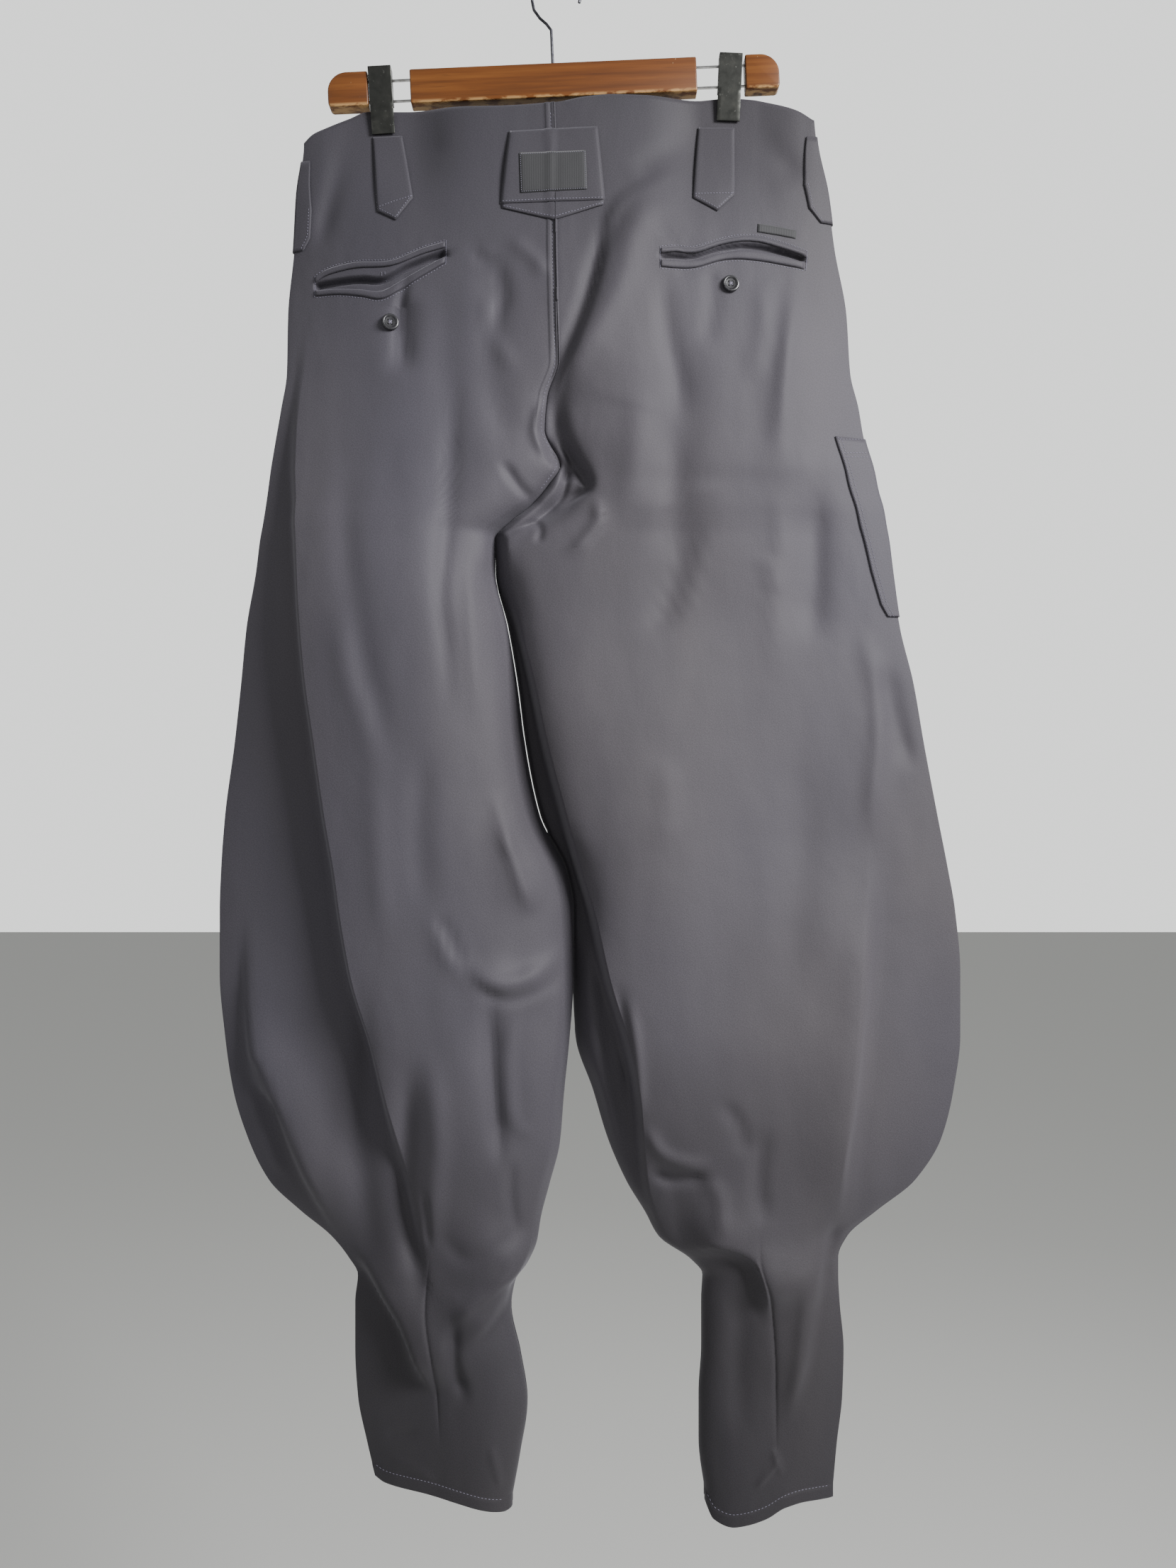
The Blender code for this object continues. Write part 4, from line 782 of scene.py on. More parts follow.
def laid_cloth(name, upper, lower, trees, away=-1, lift=0.25, thick=1.1, columns=16, rows=24,
               bulge=0.0, made_of=slate_twill, slot="cloth"):
    """A piece of cloth between an upper and a lower edge, lying on other cloth."""
    sheet = spread_grid(columns, rows)
    flat = np.array([v.co for v in sheet.verts])
    u, v = (flat[:, 0] + 1) / 2, (1 - flat[:, 1]) / 2
    edges = []
    for edge in (upper, lower):
        edge = np.array(edge, float)
        places = np.linspace(0, 1, len(edge))
        edges.append([np.interp(u, places, edge[:, k]) for k in (0, 1)])
    x = edges[0][0] + (edges[1][0] - edges[0][0]) * v
    z = edges[0][1] + (edges[1][1] - edges[0][1]) * v
    side = np.minimum(np.minimum(u, 1 - u) * columns, np.minimum(v, 1 - v) * rows)
    rise = lift + thick * (0.55 + 0.45 * smooth(side)) + bulge * np.sin(np.pi * v)
    y = np.array([cloth_depth(a, b, away, trees) for a, b in zip(x.tolist(), z.tolist())])
    set_points(sheet, np.stack([x, y + away * rise, z], axis=-1))
    set_uvs(sheet)
    sheet.normal_update()
    if sum(face.normal.y for face in sheet.faces) * away < 0:
        bmesh.ops.reverse_faces(sheet, faces=sheet.faces)
    tree = BVHTree.FromBMesh(sheet)
    piece = finish_mesh(name, sheet, made_of)
    thicken(piece, 0.55 * thick)
    return piece, tree


def edge_rows(upper, lower, inset):
    """The four sides of a piece of cloth, moved inwards, as paths."""
    corners = np.array([*upper, *lower[::-1]], float)
    middle = corners.mean(axis=0)
    moved = []
    for before, here, after in zip(np.roll(corners, 1, 0), corners, np.roll(corners, -1, 0)):
        into = here - before
        out = after - here
        into, out = into / np.hypot(*into), out / np.hypot(*out)
        normal = np.array([into[1] + out[1], -into[0] - out[0]])
        normal = normal / (np.hypot(*normal) + 1e-9)
        if np.dot(normal, middle - here) < 0:
            normal = -normal
        widen = 1 / max(0.5, abs(np.cos(0.5 * np.arccos(np.clip(np.dot(into, out), -1, 1)))))
        moved.append(here + normal * inset * widen)
    return [tuple(p) for p in [*moved, moved[0]]]


CENTRE_TAB = (((-37.6, -181), (1.4, -181), (37.6, -179)),
              ((-36.8, -185.5), (1.4, -195), (36.8, -183)))
CENTRE_LOOP = (((-32, -127), (0, -125), (32.5, -123.5)), ((-38, -182.2), (0, -181.2), (38, -179.6)))
CENTRE_PATCH = (((-24.5, -145), (0, -144), (24, -143)), ((-23.5, -175), (0, -173.8), (25, -172.4)))
SMALL_LOOPS = {
    "loop_back_left": (((-134, -124), (-123, -123.5), (-112, -123)),
                       ((-129, -183), (-115, -190.5), (-102.5, -173.5))),
    "loop_back_right": (((107, -117), (120.5, -117), (134, -117)),
                        ((102, -175), (120, -184.5), (133, -171.5))),
}
loop_thread = bmesh.new()
tab, tab_tree = laid_cloth("belt_loop_centre_tab", *CENTRE_TAB, BACK_SURFACES, columns=24, rows=8)
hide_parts("loop_centre_tab")
wide, wide_tree = laid_cloth("belt_loop_centre", *CENTRE_LOOP, BACK_SURFACES + [tab_tree],
                             columns=28, rows=24, bulge=1.5, thick=1.3)
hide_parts("loop_centre")
sew(loop_thread, [(-37.2, -180.6), (0, -179.4), (37.2, -178)], -1, [wide_tree], pitch=2.3)
sew(loop_thread, [(-36.5, -183.9), (1.4, -192.6), (36.5, -181.6)], -1,
    BACK_SURFACES + [tab_tree, wide_tree], pitch=2.3)

patch_made, patch_tree, patch_shader = new_material("black_woven_patch", BLACK_PATCH, 0.7)
weave = patch_tree.nodes.new("ShaderNodeTexWave")
weave.inputs["Scale"].default_value = 420
weave.inputs["Distortion"].default_value = 0.6
place = patch_tree.nodes.new("ShaderNodeTexCoord")
patch_tree.links.new(place.outputs["UV"], weave.inputs["Vector"])
toned(patch_tree, patch_shader, weave.outputs["Fac"],
      ((0.2, (0.009, 0.009, 0.011)), (0.8, (0.024, 0.024, 0.027))))
patch_shader.inputs["Sheen Weight"].default_value = 0.2
bumped(patch_tree, patch_shader, weave.outputs["Fac"], 0.4, 0.0002)
patch, patch_surface = laid_cloth("woven_patch_centre", *CENTRE_PATCH, [wide_tree], lift=0.05,
                                  thick=0.7, columns=20, rows=14, made_of=patch_made, slot="patch")
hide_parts("patch_centre")
sew(loop_thread, edge_rows(*CENTRE_PATCH, 0.9), -1, [patch_surface], pitch=1.6, length=1.1)

for name, shape in SMALL_LOOPS.items():
    loop, loop_tree = laid_cloth(f"belt_{name}", *shape, BACK_SURFACES, columns=16, rows=32,
                                 bulge=1.0, thick=1.3)
    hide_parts(name)
    tip = shape[1]
    row = [(x + 1.2 * (k == 0) - 1.2 * (k == 2), z + 2) for k, (x, z) in enumerate(tip)]
    sew(loop_thread, row, -1, [loop_tree], pitch=2.2, length=1.6)
    across = [(tip[0][0] + 1, tip[0][1] + 3), (tip[2][0] - 1, tip[2][1] + 1.5)]
    sew(loop_thread, across, -1, [loop_tree], pitch=2.2, length=1.6)

WRAPPED_LOOPS = {
    "loop_side_left": ("left", (
        (-142, 6, 18), (-160, 9, 16), (-178, 12, 14), (-198, 12, 13), (-207, 7, 9))),
    "loop_side_right": ("right", (
        (-124, 7, 18), (-142, 12, 15), (-160, 17, 12), (-177, 16, 10), (-187, 8, 7))),
}


def wrapped_cloth(name, side, spans, thick=1.2, lift=0.3, steps=5, rise=4):
    """A piece that goes round the outer seam. Each span is z, width on the back and on the front."""
    sign = -1 if side == "left" else 1
    back, front = [surfaces["back_" + side]], [surfaces["front_" + side]]
    spans = np.array(spans, float)
    stations = np.linspace(0, len(spans) - 1, rise * (len(spans) - 1) + 1)
    z_list = np.interp(stations, np.arange(len(spans)), spans[:, 0])
    rows = []
    for z in z_list:
        wide_back = np.interp(-z, -spans[:, 0], spans[:, 1])
        wide_front = np.interp(-z, -spans[:, 0], spans[:, 2])
        seam = float(section("out_l" if side == "left" else "out_r", np.array(z)))
        plane = float(seam_plane(side, np.array(0.0), np.array(z)))
        out = lift + thick
        row = []
        for share in np.linspace(1, 0.08, 2 * steps):
            x = seam - sign * wide_back * share
            y = cloth_depth(x, z, -1, back)
            row.append((x, min(y if y is not None else 1e3, plane - EDGE) - out, z))
        for turn in np.linspace(-1, 1, 5):
            row.append((seam + sign * (out * math.cos(turn * 1.2)), plane + (EDGE + out) * turn, z))
        for share in np.linspace(0.08, 1, 3 * steps):
            x = seam - sign * wide_front * share
            y = cloth_depth(x, z, 1, front)
            row.append((x, max(y if y is not None else -1e3, plane + EDGE) + out, z))
        rows.append(row)
    points = np.array(rows)
    sheet = spread_grid(points.shape[1] - 1, points.shape[0] - 1)
    flat = np.array([v.co for v in sheet.verts])
    column = np.rint((flat[:, 0] + 1) / 2 * (points.shape[1] - 1)).astype(int)
    row = np.rint((1 - flat[:, 1]) / 2 * (points.shape[0] - 1)).astype(int)
    set_points(sheet, points[row, column])
    set_uvs(sheet)
    sheet.normal_update()
    if sum(face.normal.x for face in sheet.faces) * sign < 0:
        bmesh.ops.reverse_faces(sheet, faces=sheet.faces)
    tree = BVHTree.FromBMesh(sheet)
    piece = finish_mesh(name, sheet, slate_twill)
    thicken(piece, thick)
    return piece, tree


for name, (side, spans) in WRAPPED_LOOPS.items():
    loop, loop_tree = wrapped_cloth(f"belt_{name}", side, spans)
    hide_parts(name)
    sign = -1 if side == "left" else 1
    column = "out_l" if side == "left" else "out_r"
    lower = [(float(section(column, np.array(z))) - sign * wide_back * 0.85, z + 1)
             for z, wide_back, _ in spans[2:]]
    sew(loop_thread, lower, -1, [loop_tree], pitch=2.2, length=1.6)
for side, sign in (("left", -1), ("right", 1)):
    shape = (((sign * 78, -122), (sign * 66, -122)), ((sign * 80, -180), (sign * 66, -180)))
    loop, loop_tree = laid_cloth(f"belt_loop_front_{side}", *shape, FRONT_SURFACES, away=1,
                                 columns=10, rows=24, bulge=1.0, thick=1.3)
    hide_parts(f"loop_front_{side}")
    for height in (-124, -178):
        sew(loop_thread, [(sign * 67.5, height), (sign * 77, height)], 1, [loop_tree],
            pitch=2.2, length=1.6)
finish_thread("stitches_belt_loops", loop_thread)

# The two back pockets: a slit cut in each back, bound with an upper and a lower welt of the same
# twill, bar-tacked at both ends. The mouths gape a little and show dark.
WELTS = {
    "pocket_left_upper": (
        ((-176, -228), (-166, -223), (-145, -220), (-118, -221), (-96, -213.5), (-78, -209)),
        ((-176, -232), (-166, -227.5), (-145, -224.5), (-118, -225), (-96, -218), (-78, -213.5))),
    "pocket_left_lower": (
        ((-176, -238), (-157, -239), (-140, -241), (-124, -243), (-104, -233), (-78, -220)),
        ((-176, -242), (-157, -243), (-140, -246), (-124, -249), (-104, -239), (-78, -225))),
    "pocket_right_upper": (
        ((78, -216), (89, -214), (104, -213.5), (126, -205), (151, -202), (187, -210)),
        ((78, -220), (89, -218), (104, -217.5), (126, -209), (151, -206), (187, -214))),
    "pocket_right_lower": (
        ((78, -224.5), (89, -223.5), (104, -222), (126, -214.5), (151, -212.5), (185, -217)),
        ((78, -230), (89, -230), (104, -228.5), (126, -221), (151, -220), (185, -223))),
}
POCKET_ENDS = (((-176.5, -227), (-176.5, -243)), ((-77.5, -208), (-77.5, -226)),
               ((77.5, -215), (77.5, -231)), ((187.5, -209), (186, -224)))
BAR_TACKS = (((-125, -229), (-125, -234)), ((-122.6, -229), (-122.6, -234)))
pocket_thread = bmesh.new()
for name, (upper, lower) in WELTS.items():
    side = "left" if "left" in name else "right"
    upper, lower = rounded_path(upper, 4), rounded_path(lower, 4)
    welt, _ = laid_cloth(f"{name}_welt", upper, lower, [surfaces["back_" + side]], columns=60,
                         rows=5, thick=1.0, lift=0.1, bulge=0.4)
    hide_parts(name)
    edge, outwards = (upper, 1.2) if "upper" in name else (lower, -1.2)
    outside = [(p[0], p[1] + outwards) for p in edge]
    sew(pocket_thread, outside, -1, BACK_SURFACES, pitch=2.3, length=1.7)
for end in (*POCKET_ENDS, *BAR_TACKS):
    sew(pocket_thread, end, -1, BACK_SURFACES, pitch=1.0, length=1.2, lift=0.2)
finish_thread("stitches_back_pockets", pocket_thread)

SMALL_TAB = (((150, -192), (164, -193.2), (179, -195)),
             ((149.5, -198.4), (164, -199.4), (178.5, -201)))
tab, _ = laid_cloth("woven_tab_right", *SMALL_TAB, [surfaces["back_right"]], thick=0.7, lift=0.1,
                    columns=16, rows=6, made_of=patch_made, slot="patch")
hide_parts("tab_right")

# The tool pocket: a patch pocket that goes round the right side seam, with two rows of stitches
# across its mouth and one down its edge.
TOOL_POCKET = ((-346, 23, 112), (-378, 22, 112), (-412, 20, 112), (-445, 16, 112), (-469, 12, 110),
               (-478, 8, 100))
tool_thread = bmesh.new()
tool, tool_tree = wrapped_cloth("tool_pocket", "right", TOOL_POCKET, steps=8, rise=8)
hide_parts("pocket_tool")
for inset in (1.6, 4.2):
    side_row = [(float(section("out_r", np.array(float(z)))) - wide_back + inset, float(z))
                for z, wide_back, _ in TOOL_POCKET]
    sew(tool_thread, side_row, -1, [tool_tree], pitch=2.4, length=1.8)
for drop in (2, 12, 15):
    top_z = TOOL_POCKET[0][0] - drop
    seam_x = float(section("out_r", np.array(float(top_z))))
    sew(tool_thread, [(seam_x - 21, top_z), (seam_x - 3, top_z + 1.5)], -1, [tool_tree],
        pitch=2.4, length=1.8)
    sew(tool_thread, [(seam_x - 108, top_z), (seam_x - 3, top_z)], 1, [tool_tree],
        pitch=2.4, length=1.8)
finish_thread("stitches_tool_pocket", tool_thread)

# The fly: a placket over the front opening, with a curved row of stitches down to its lower
# end. The waist button sits at its top.
PLACKET = (((3, -116), (18, -116), (36, -116)), ((6, -300), (22, -296), (34, -278)))
fly_thread = bmesh.new()
placket, placket_tree = laid_cloth("fly_placket_front", *PLACKET, FRONT_SURFACES, away=1,
                                   columns=16, rows=60, thick=1.0)
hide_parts("fly_placket")
sew(fly_thread, [(32.5, -118), (32, -200), (31, -262), (26, -283), (16, -292)], 1, [placket_tree])
finish_thread("stitches_fly", fly_thread)

# The buttons: two below the back pockets and one at the waist, of dark moulded plastic with a raised
# rim and four holes, sewn on with a cross of thread. The holes are not cut: each is a thin near-black
# disc of painted shadow on the button's face.
BUTTON_RADIUS = 6.2
BUTTON_HEIGHT = 2.6
BUTTON_HOLLOW = 1.0
HOLE_PLACE = 1.35
HOLE_RADIUS = 0.75
HOLE_SPREAD = 1.41 * HOLE_PLACE
SLOPE_REACH = 5
BUTTONS = (
    ("button_pocket_left", -118.8, -266.5, -1, ["back_left"]),
    ("button_pocket_right", 129, -239.3, -1, ["back_right"]),
    ("button_waist", 18, -126, 1, []),
)

button_made, button_tree, button_shader = new_material("button_plastic", (0.018, 0.017, 0.02), 0.28)
clouds = noise_on(button_tree, "Object", 500, 3)
toned(button_tree, button_shader, clouds,
      ((0.35, (0.012, 0.012, 0.014)), (0.7, (0.035, 0.034, 0.038))))
# Painted shadow: a near-black material for the discs that stand in for the shade inside the button
# holes.
hole_shadow_made, _, _ = new_material("button_hole_shadow", (0.002, 0.002, 0.002), 0.9)
for name, x, z, away, on in BUTTONS:
    trees = [surfaces[n] for n in on] or [placket_tree]
    depth = cloth_depth(x, z, away, trees)
    west, east = [cloth_depth(x + step, z, away, trees) for step in (-SLOPE_REACH, SLOPE_REACH)]
    low, high = [cloth_depth(x, z + step, away, trees) for step in (-SLOPE_REACH, SLOPE_REACH)]
    slope_x = (east - west) / (2 * SLOPE_REACH)
    slope_z = (high - low) / (2 * SLOPE_REACH)
    normal = Vector((-slope_x * away, away, -slope_z * away)).normalized()
    seat = Matrix.Translation((Vector((x, depth, z)) + normal * 0.4) * MM)
    seat = seat @ normal.to_track_quat("Z", "Y").to_matrix().to_4x4()
    seat = seat @ Matrix.Diagonal((MM, MM, MM, 1))
    turned = bmesh.new()
    top = BUTTON_HEIGHT - BUTTON_HOLLOW
    profile = ((0, 0), (5.2, 0), (5.9, 0.35), (BUTTON_RADIUS, 1.0), (6.15, 1.7), (5.8, 2.35),
               (5.2, BUTTON_HEIGHT), (4.6, 2.5), (4.1, 2.1), (3.7, top), (3.2, top - 0.05),
               (0, top - 0.05))
    points = [turned.verts.new((r, 0, h)) for r, h in profile]
    edges = [turned.edges.new(pair) for pair in zip(points, points[1:])]
    bmesh.ops.spin(turned, geom=points + edges, cent=(0, 0, 0), axis=(0, 0, 1),
                   angle=2 * math.pi, steps=40, use_merge=True)
    bmesh.ops.remove_doubles(turned, verts=turned.verts, dist=1e-4)
    bmesh.ops.recalc_face_normals(turned, faces=turned.faces)
    bmesh.ops.transform(turned, matrix=seat, verts=turned.verts)
    button = finish_mesh(f"{name}_turned", turned, button_made, 35)
    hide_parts(name)
    # Painted shadow: four near-black discs stand in for the shade inside the holes.
    hole_shadow_discs = bmesh.new()
    for turn in range(4):
        a = math.pi / 4 + turn * math.pi / 2
        place = (HOLE_SPREAD * math.cos(a), HOLE_SPREAD * math.sin(a), top - 0.15)
        bmesh.ops.create_cone(hole_shadow_discs, cap_ends=True, segments=14, radius1=HOLE_RADIUS,
                              radius2=HOLE_RADIUS, depth=0.3, matrix=Matrix.Translation(place))
    bmesh.ops.transform(hole_shadow_discs, matrix=seat, verts=hole_shadow_discs.verts)
    finish_mesh(f"{name}_holes", hole_shadow_discs, hole_shadow_made)
    cross = bmesh.new()
    for turn in (math.pi / 4, -math.pi / 4):
        for shift in (-0.25, 0.25):
            lie = Matrix.Translation((0, 0, top + 0.1)) @ Matrix.Rotation(turn, 4, "Z")
            lie = lie @ Matrix.Translation((0, shift, 0))
            lie = lie @ Matrix.Diagonal((1.45 * HOLE_PLACE, 0.24, 0.26, 1))
            bmesh.ops.create_uvsphere(cross, u_segments=8, v_segments=8, radius=1, matrix=lie)
    bmesh.ops.transform(cross, matrix=seat, verts=cross.verts)
    finish_thread(f"{name}_thread", cross)

# The hanger's wood: a middle block and two end blocks of brown varnished hardwood with fine
# streaks along the grain, its edges worn pale and scratched.
TILT = -2.5
BLOCK = (211.6, 13, 25)
BLOCK_CENTRE = -83.5
END_INNER = {"left": 137, "right": 141.8}
END_OUTER = 166.7
END_CORNER = 14
LOWER_ROUND = 3
WOOD_ROUND = 1.0
tilted = Matrix.Translation((0, 0, BLOCK_CENTRE * MM)) @ Matrix.Rotation(math.radians(TILT), 4, "Y")


def varnished_wood(name, seed, half_height):
    """Varnished hardwood: long dark streaks, a worn lower edge and small pale scratches."""
    made, tree, shader = new_material(name, (0.14, 0.045, 0.009), 0.42)
    place = tree.nodes.new("ShaderNodeTexCoord")
    lie = tree.nodes.new("ShaderNodeMapping")
    lie.vector_type = "TEXTURE"
    lie.inputs["Location"].default_value = (0, 0, BLOCK_CENTRE * MM)
    lie.inputs["Rotation"].default_value = (0, math.radians(TILT), 0)
    tree.links.new(place.outputs["Object"], lie.inputs["Vector"])

    def grain(scale, stretch, detail, shift):
        move = tree.nodes.new("ShaderNodeMapping")
        move.inputs["Scale"].default_value = stretch
        move.inputs["Location"].default_value = (shift, seed, shift)
        pattern = tree.nodes.new("ShaderNodeTexNoise")
        pattern.inputs["Scale"].default_value = scale
        pattern.inputs["Detail"].default_value = detail
        pattern.inputs["Roughness"].default_value = 0.6
        tree.links.new(lie.outputs["Vector"], move.inputs["Vector"])
        tree.links.new(move.outputs["Vector"], pattern.inputs["Vector"])
        return pattern.outputs["Fac"]

    streaks = grain(90, (0.06, 1, 1.6), 4, 0.0)
    broad = grain(22, (0.25, 1, 1.2), 2, 3.0)
    pores = grain(900, (0.05, 1, 1), 2, 5.0)
    base = ramp(tree, streaks, ((0.30, (0.060, 0.019, 0.005)), (0.5, (0.140, 0.045, 0.009)),
                                (0.72, (0.215, 0.080, 0.017))))
    base = mixed(tree, ramp(tree, broad, ((0.35, (0, 0, 0)), (0.75, (0.6, 0.6, 0.6)))), base,
                 (0.085, 0.027, 0.007))
    base = mixed(tree, ramp(tree, pores, ((0.62, (0, 0, 0)), (0.8, (0.55, 0.55, 0.55)))), base,
                 (0.05, 0.018, 0.008))
    split = tree.nodes.new("ShaderNodeSeparateXYZ")
    tree.links.new(lie.outputs["Vector"], split.inputs["Vector"])
    low = tree.nodes.new("ShaderNodeMapRange")
    low.inputs["From Min"].default_value = (-half_height + 2.6) * MM
    low.inputs["From Max"].default_value = (-half_height + 0.2) * MM
    tree.links.new(split.outputs["Z"], low.inputs["Value"])
    chips = ramp(tree, grain(160, (0.5, 1, 1), 4, 9.0), ((0.42, (0, 0, 0)), (0.55, (1, 1, 1))))
    wear = mixed(tree, 1.0, low.outputs["Result"], chips, "MULTIPLY")
    base = mixed(tree, wear, base, (0.46, 0.27, 0.11))
    nicks = grain(230, (1, 1, 0.35), 3, 12.0)
    scratches = ramp(tree, nicks, ((0.715, (0, 0, 0)), (0.74, (1, 1, 1))))
    base = mixed(tree, scratches, base, (0.52, 0.36, 0.19))
    tree.links.new(base, shader.inputs["Base Color"])
    shader.inputs["Coat Weight"].default_value = 0.12
    shader.inputs["Coat Roughness"].default_value = 0.3
    shader.inputs["Specular IOR Level"].default_value = 0.3
    bumped(tree, shader, streaks, 0.12, 0.0004)
    bumped(tree, shader, scratches, 0.3, 0.0002)
    return made


wood_middle = varnished_wood("varnished_wood_middle", 1.0, BLOCK[2] / 2)
wood_end = varnished_wood("varnished_wood_end", 7.0, BLOCK[2] / 2)


def rounded_block(name, size, shift, corner, made_of, node):
    """A block of wood, with a round top outer corner if it is an end."""
    block = bmesh.new()
    bmesh.ops.create_cube(block, size=1, matrix=Matrix.Translation([v * MM for v in shift])
                          @ Matrix.Diagonal((*[v * MM for v in size], 1)))
    if corner:
        outer = [e for e in block.edges if all(abs(v.co.x) > abs(shift[0]) * MM and v.co.z > 0
                                               for v in e.verts)]
        bmesh.ops.bevel(block, geom=outer, offset=corner * MM, segments=10, affect="EDGES",
                        profile=0.5, material=-1)
        lower = [e for e in block.edges if all(abs(v.co.x) > abs(shift[0]) * MM and v.co.z < -0.011
                                               for v in e.verts)]
        bmesh.ops.bevel(block, geom=lower, offset=LOWER_ROUND * MM, segments=5, affect="EDGES",
                        profile=0.5, material=-1)
    sharp = [e for e in block.edges
             if len(e.link_faces) == 2 and e.calc_face_angle() > math.radians(50)]
    bmesh.ops.bevel(block, geom=sharp, offset=WOOD_ROUND * MM, segments=3, affect="EDGES",
                    profile=0.5, material=-1)
    bmesh.ops.transform(block, matrix=tilted, verts=block.verts)
    piece = finish_mesh(name, block, made_of, 40)
    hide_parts(node)
    return piece


rounded_block("hanger_block_middle", BLOCK, (0, 0, 0), 0, wood_middle, "hanger_bar")
for side, sign in (("left", -1), ("right", 1)):
    long = END_OUTER - END_INNER[side]
    rounded_block(f"hanger_block_{side}", (long, BLOCK[1], BLOCK[2]),
                  (sign * (END_INNER[side] + long / 2), 0, 0), END_CORNER, wood_end,
                  f"hanger_end_{side}")

# The rods between the blocks are bright drawn steel wire, and the hook over the rail is dark
# wire. Both keep the solids of the frame.
rod_made, rod_tree, rod_shader = new_material("bright_steel_rod", (0.55, 0.55, 0.56), 0.25, 1.0)
tarnish = noise_on(rod_tree, "Object", 240, 3)
toned(rod_tree, rod_shader, tarnish, ((0.35, (0.36, 0.35, 0.34)), (0.7, (0.66, 0.66, 0.67))))
wire_made, wire_tree, wire_shader = new_material("dark_steel_wire", (0.05, 0.05, 0.058), 0.38, 1.0)
oxide = noise_on(wire_tree, "Object", 300, 3)
toned(wire_tree, wire_shader, oxide,
      ((0.35, (0.035, 0.035, 0.042)), (0.7, (0.085, 0.085, 0.095))))
bumped(wire_tree, wire_shader, oxide, 0.2, 0.0002)
for row in ("upper", "lower"):
    for side in ("left", "right"):
        node = f"hanger_rod_{row}_{side}"
        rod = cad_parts[node]
        for slot in rod.material_slots:
            slot.material = rod_made
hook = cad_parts["hanger_hook"]
for slot in hook.material_slots:
    slot.material = wire_made

# The clips: each is two folded plates of sheet steel, tarnished dark and mottled, that hold the
# waist between them and slide on the rods.
CLIPS = {
    "left": {"x": -127, "top": -74, "lean": -3.2},
    "right": {"x": 130, "top": -64.5, "lean": 2.3},
}
CLIP_WIDTH = 17
CLIP_HEIGHT = 48
CLIP_PLATE = 1.2
CLIP_TOP_Y = 7.7
CLIP_LOW_Y = 3.3
CHEEK_DEPTH = 1.5
CHEEK_LOW = -2
CLIP_GAP = 0.3

clip_made, clip_tree, clip_shader = new_material("tarnished_clip_steel", (0.13, 0.13, 0.12),
                                                 0.5, 1.0)
mottle = noise_on(clip_tree, "Object", 130, 5)
worn = noise_on(clip_tree, "Object", 420, 4)
dull = ramp(clip_tree, mottle, ((0.30, (0.030, 0.031, 0.029)), (0.55, (0.055, 0.056, 0.052)),
                                (0.75, (0.095, 0.095, 0.087))))
flakes = ramp(clip_tree, worn, ((0.66, (0, 0, 0)), (0.71, (0.5, 0.5, 0.5))))
clip_tree.links.new(mixed(clip_tree, flakes, dull, (0.2, 0.2, 0.185)),
                    clip_shader.inputs["Base Color"])
clip_tree.links.new(ramp(clip_tree, mottle, ((0.3, (0.62, 0.62, 0.62)), (0.7, (0.4, 0.4, 0.4)))),
                    clip_shader.inputs["Roughness"])
bumped(clip_tree, clip_shader, worn, 0.25, 0.0002)
for side, clip in CLIPS.items():
    inside_half = CLIP_WIDTH / 2 - CLIP_PLATE - CLIP_GAP
    for jaw, away, half in (("front", -1, CLIP_WIDTH / 2), ("back", 1, inside_half)):
        plate = bmesh.new()
        reach = CLIP_HEIGHT / 2
        bmesh.ops.create_grid(plate, x_segments=6, y_segments=16, size=1)
        for vertex in plate.verts:
            across, up = vertex.co.x, vertex.co.y
            out = CLIP_LOW_Y + (CLIP_TOP_Y - CLIP_LOW_Y) * (up + 1) / 2 + CLIP_PLATE / 2
            vertex.co = (across * half * MM, away * out * MM, up * reach * MM)
        sides = [e for e in plate.edges if e.is_boundary
                 and abs(e.verts[0].co.x - e.verts[1].co.x) < 1e-7
                 and (e.verts[0].co.z + e.verts[1].co.z) / 2 > CHEEK_LOW * MM]
        folded = bmesh.ops.extrude_edge_only(plate, edges=sides)
        for vertex in folded["geom"]:
            if isinstance(vertex, bmesh.types.BMVert):
                vertex.co.y = -away * CHEEK_DEPTH * MM
        bmesh.ops.recalc_face_normals(plate, faces=plate.faces)
        if sum(f.normal.y for f in plate.faces if abs(f.normal.y) > 0.8) * away < 0:
            bmesh.ops.reverse_faces(plate, faces=plate.faces)
        turn = Matrix.Translation((clip["x"] * MM, 0, (clip["top"] - reach) * MM))
        turn = turn @ Matrix.Rotation(math.radians(clip["lean"]), 4, "Y")
        bmesh.ops.transform(plate, matrix=turn, verts=plate.verts)
        piece = finish_mesh(f"hanger_clip_{side}_{jaw}", plate, clip_made, 40)
        thicken(piece, CLIP_PLATE)
        soft = piece.modifiers.new("rolled edges", "BEVEL")
        soft.width = 0.35 * MM
        soft.segments = 2
        soft.limit_method = "ANGLE"
        soft.angle_limit = math.radians(40)
        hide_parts(f"clip_{side}_{jaw}")

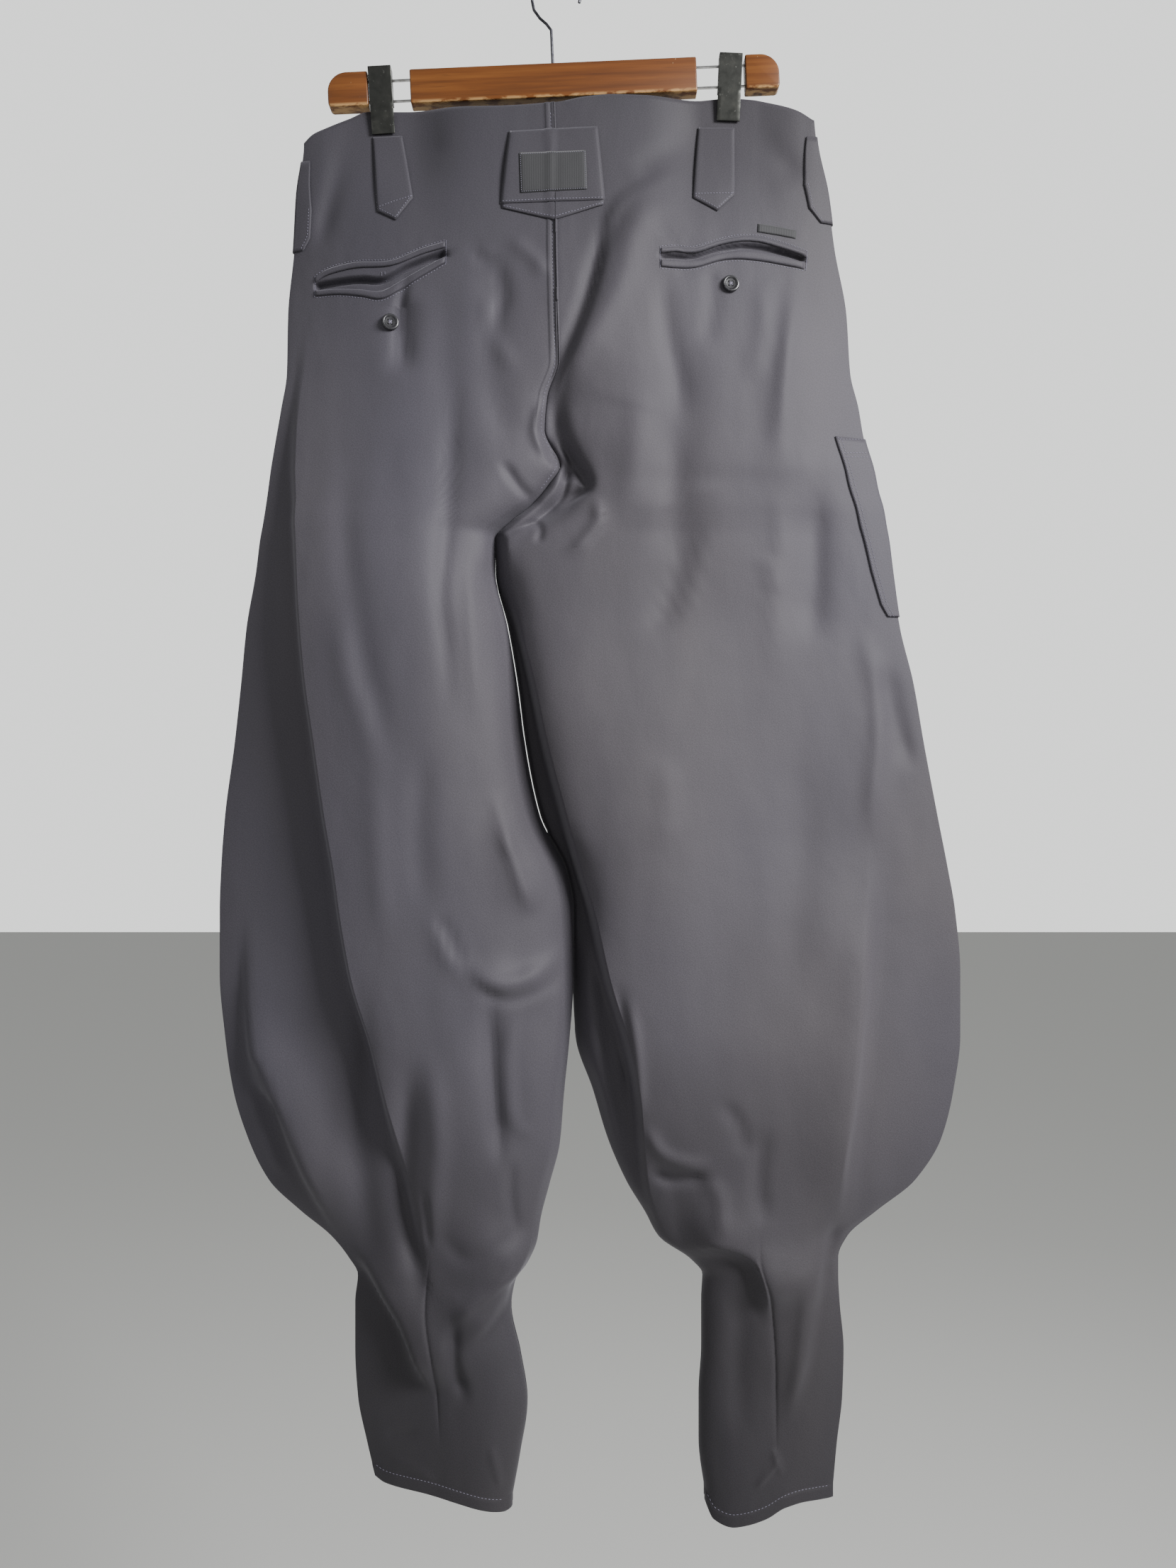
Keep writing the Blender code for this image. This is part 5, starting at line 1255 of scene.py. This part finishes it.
# A plain pale floor well below, pale surroundings, and soft studio light: a key lamp from the
# viewer's upper right, a weak fill from the left and one behind.
FLOOR_HEIGHT = -2.1
FLOOR_SIZE = 12
WORLD_COLOUR = (0.80, 0.81, 0.80)
LAMP_TARGET = (0.02, 0, -0.55)

floor_made, _, _ = new_material("floor_pale", (0.72, 0.72, 0.7), 0.9)
ground = bmesh.new()
bmesh.ops.create_grid(ground, x_segments=1, y_segments=1, size=FLOOR_SIZE)
bmesh.ops.translate(ground, verts=ground.verts, vec=(0, 0, FLOOR_HEIGHT))
floor_mesh = bpy.data.meshes.new("floor")
ground.to_mesh(floor_mesh)
ground.free()
floor_mesh.materials.append(floor_made)
floor = bpy.data.objects.new("floor", floor_mesh)
bpy.context.scene.collection.objects.link(floor)

world = bpy.data.worlds.new("studio")
world.use_nodes = True
studio = world.node_tree
seen = studio.nodes["Background"]
seen.inputs["Color"].default_value = (*WORLD_COLOUR, 1)
seen.inputs["Strength"].default_value = 1.7
felt = studio.nodes.new("ShaderNodeBackground")
felt.inputs["Color"].default_value = (*WORLD_COLOUR, 1)
felt.inputs["Strength"].default_value = 0.5
path = studio.nodes.new("ShaderNodeLightPath")
choose = studio.nodes.new("ShaderNodeMixShader")
studio.links.new(path.outputs["Is Camera Ray"], choose.inputs["Fac"])
studio.links.new(felt.outputs["Background"], choose.inputs[1])
studio.links.new(seen.outputs["Background"], choose.inputs[2])
studio.links.new(choose.outputs["Shader"], studio.nodes["World Output"].inputs["Surface"])
bpy.context.scene.world = world

LAMPS = (
    ("key", (1.5, -1.25, 0.35), 0.8, 95),
    ("fill", (-1.8, -1.6, 0.2), 1.6, 7),
    ("back", (0.6, 1.9, 0.6), 1.6, 16),
)
for name, place, size, power in LAMPS:
    lamp_data = bpy.data.lights.new(name, "AREA")
    lamp_data.size = size
    lamp_data.energy = power
    lamp = bpy.data.objects.new(name, lamp_data)
    lamp.location = place
    aim = Vector(LAMP_TARGET) - Vector(place)
    lamp.rotation_euler = aim.to_track_quat("-Z", "Y").to_euler()
    bpy.context.scene.collection.objects.link(lamp)
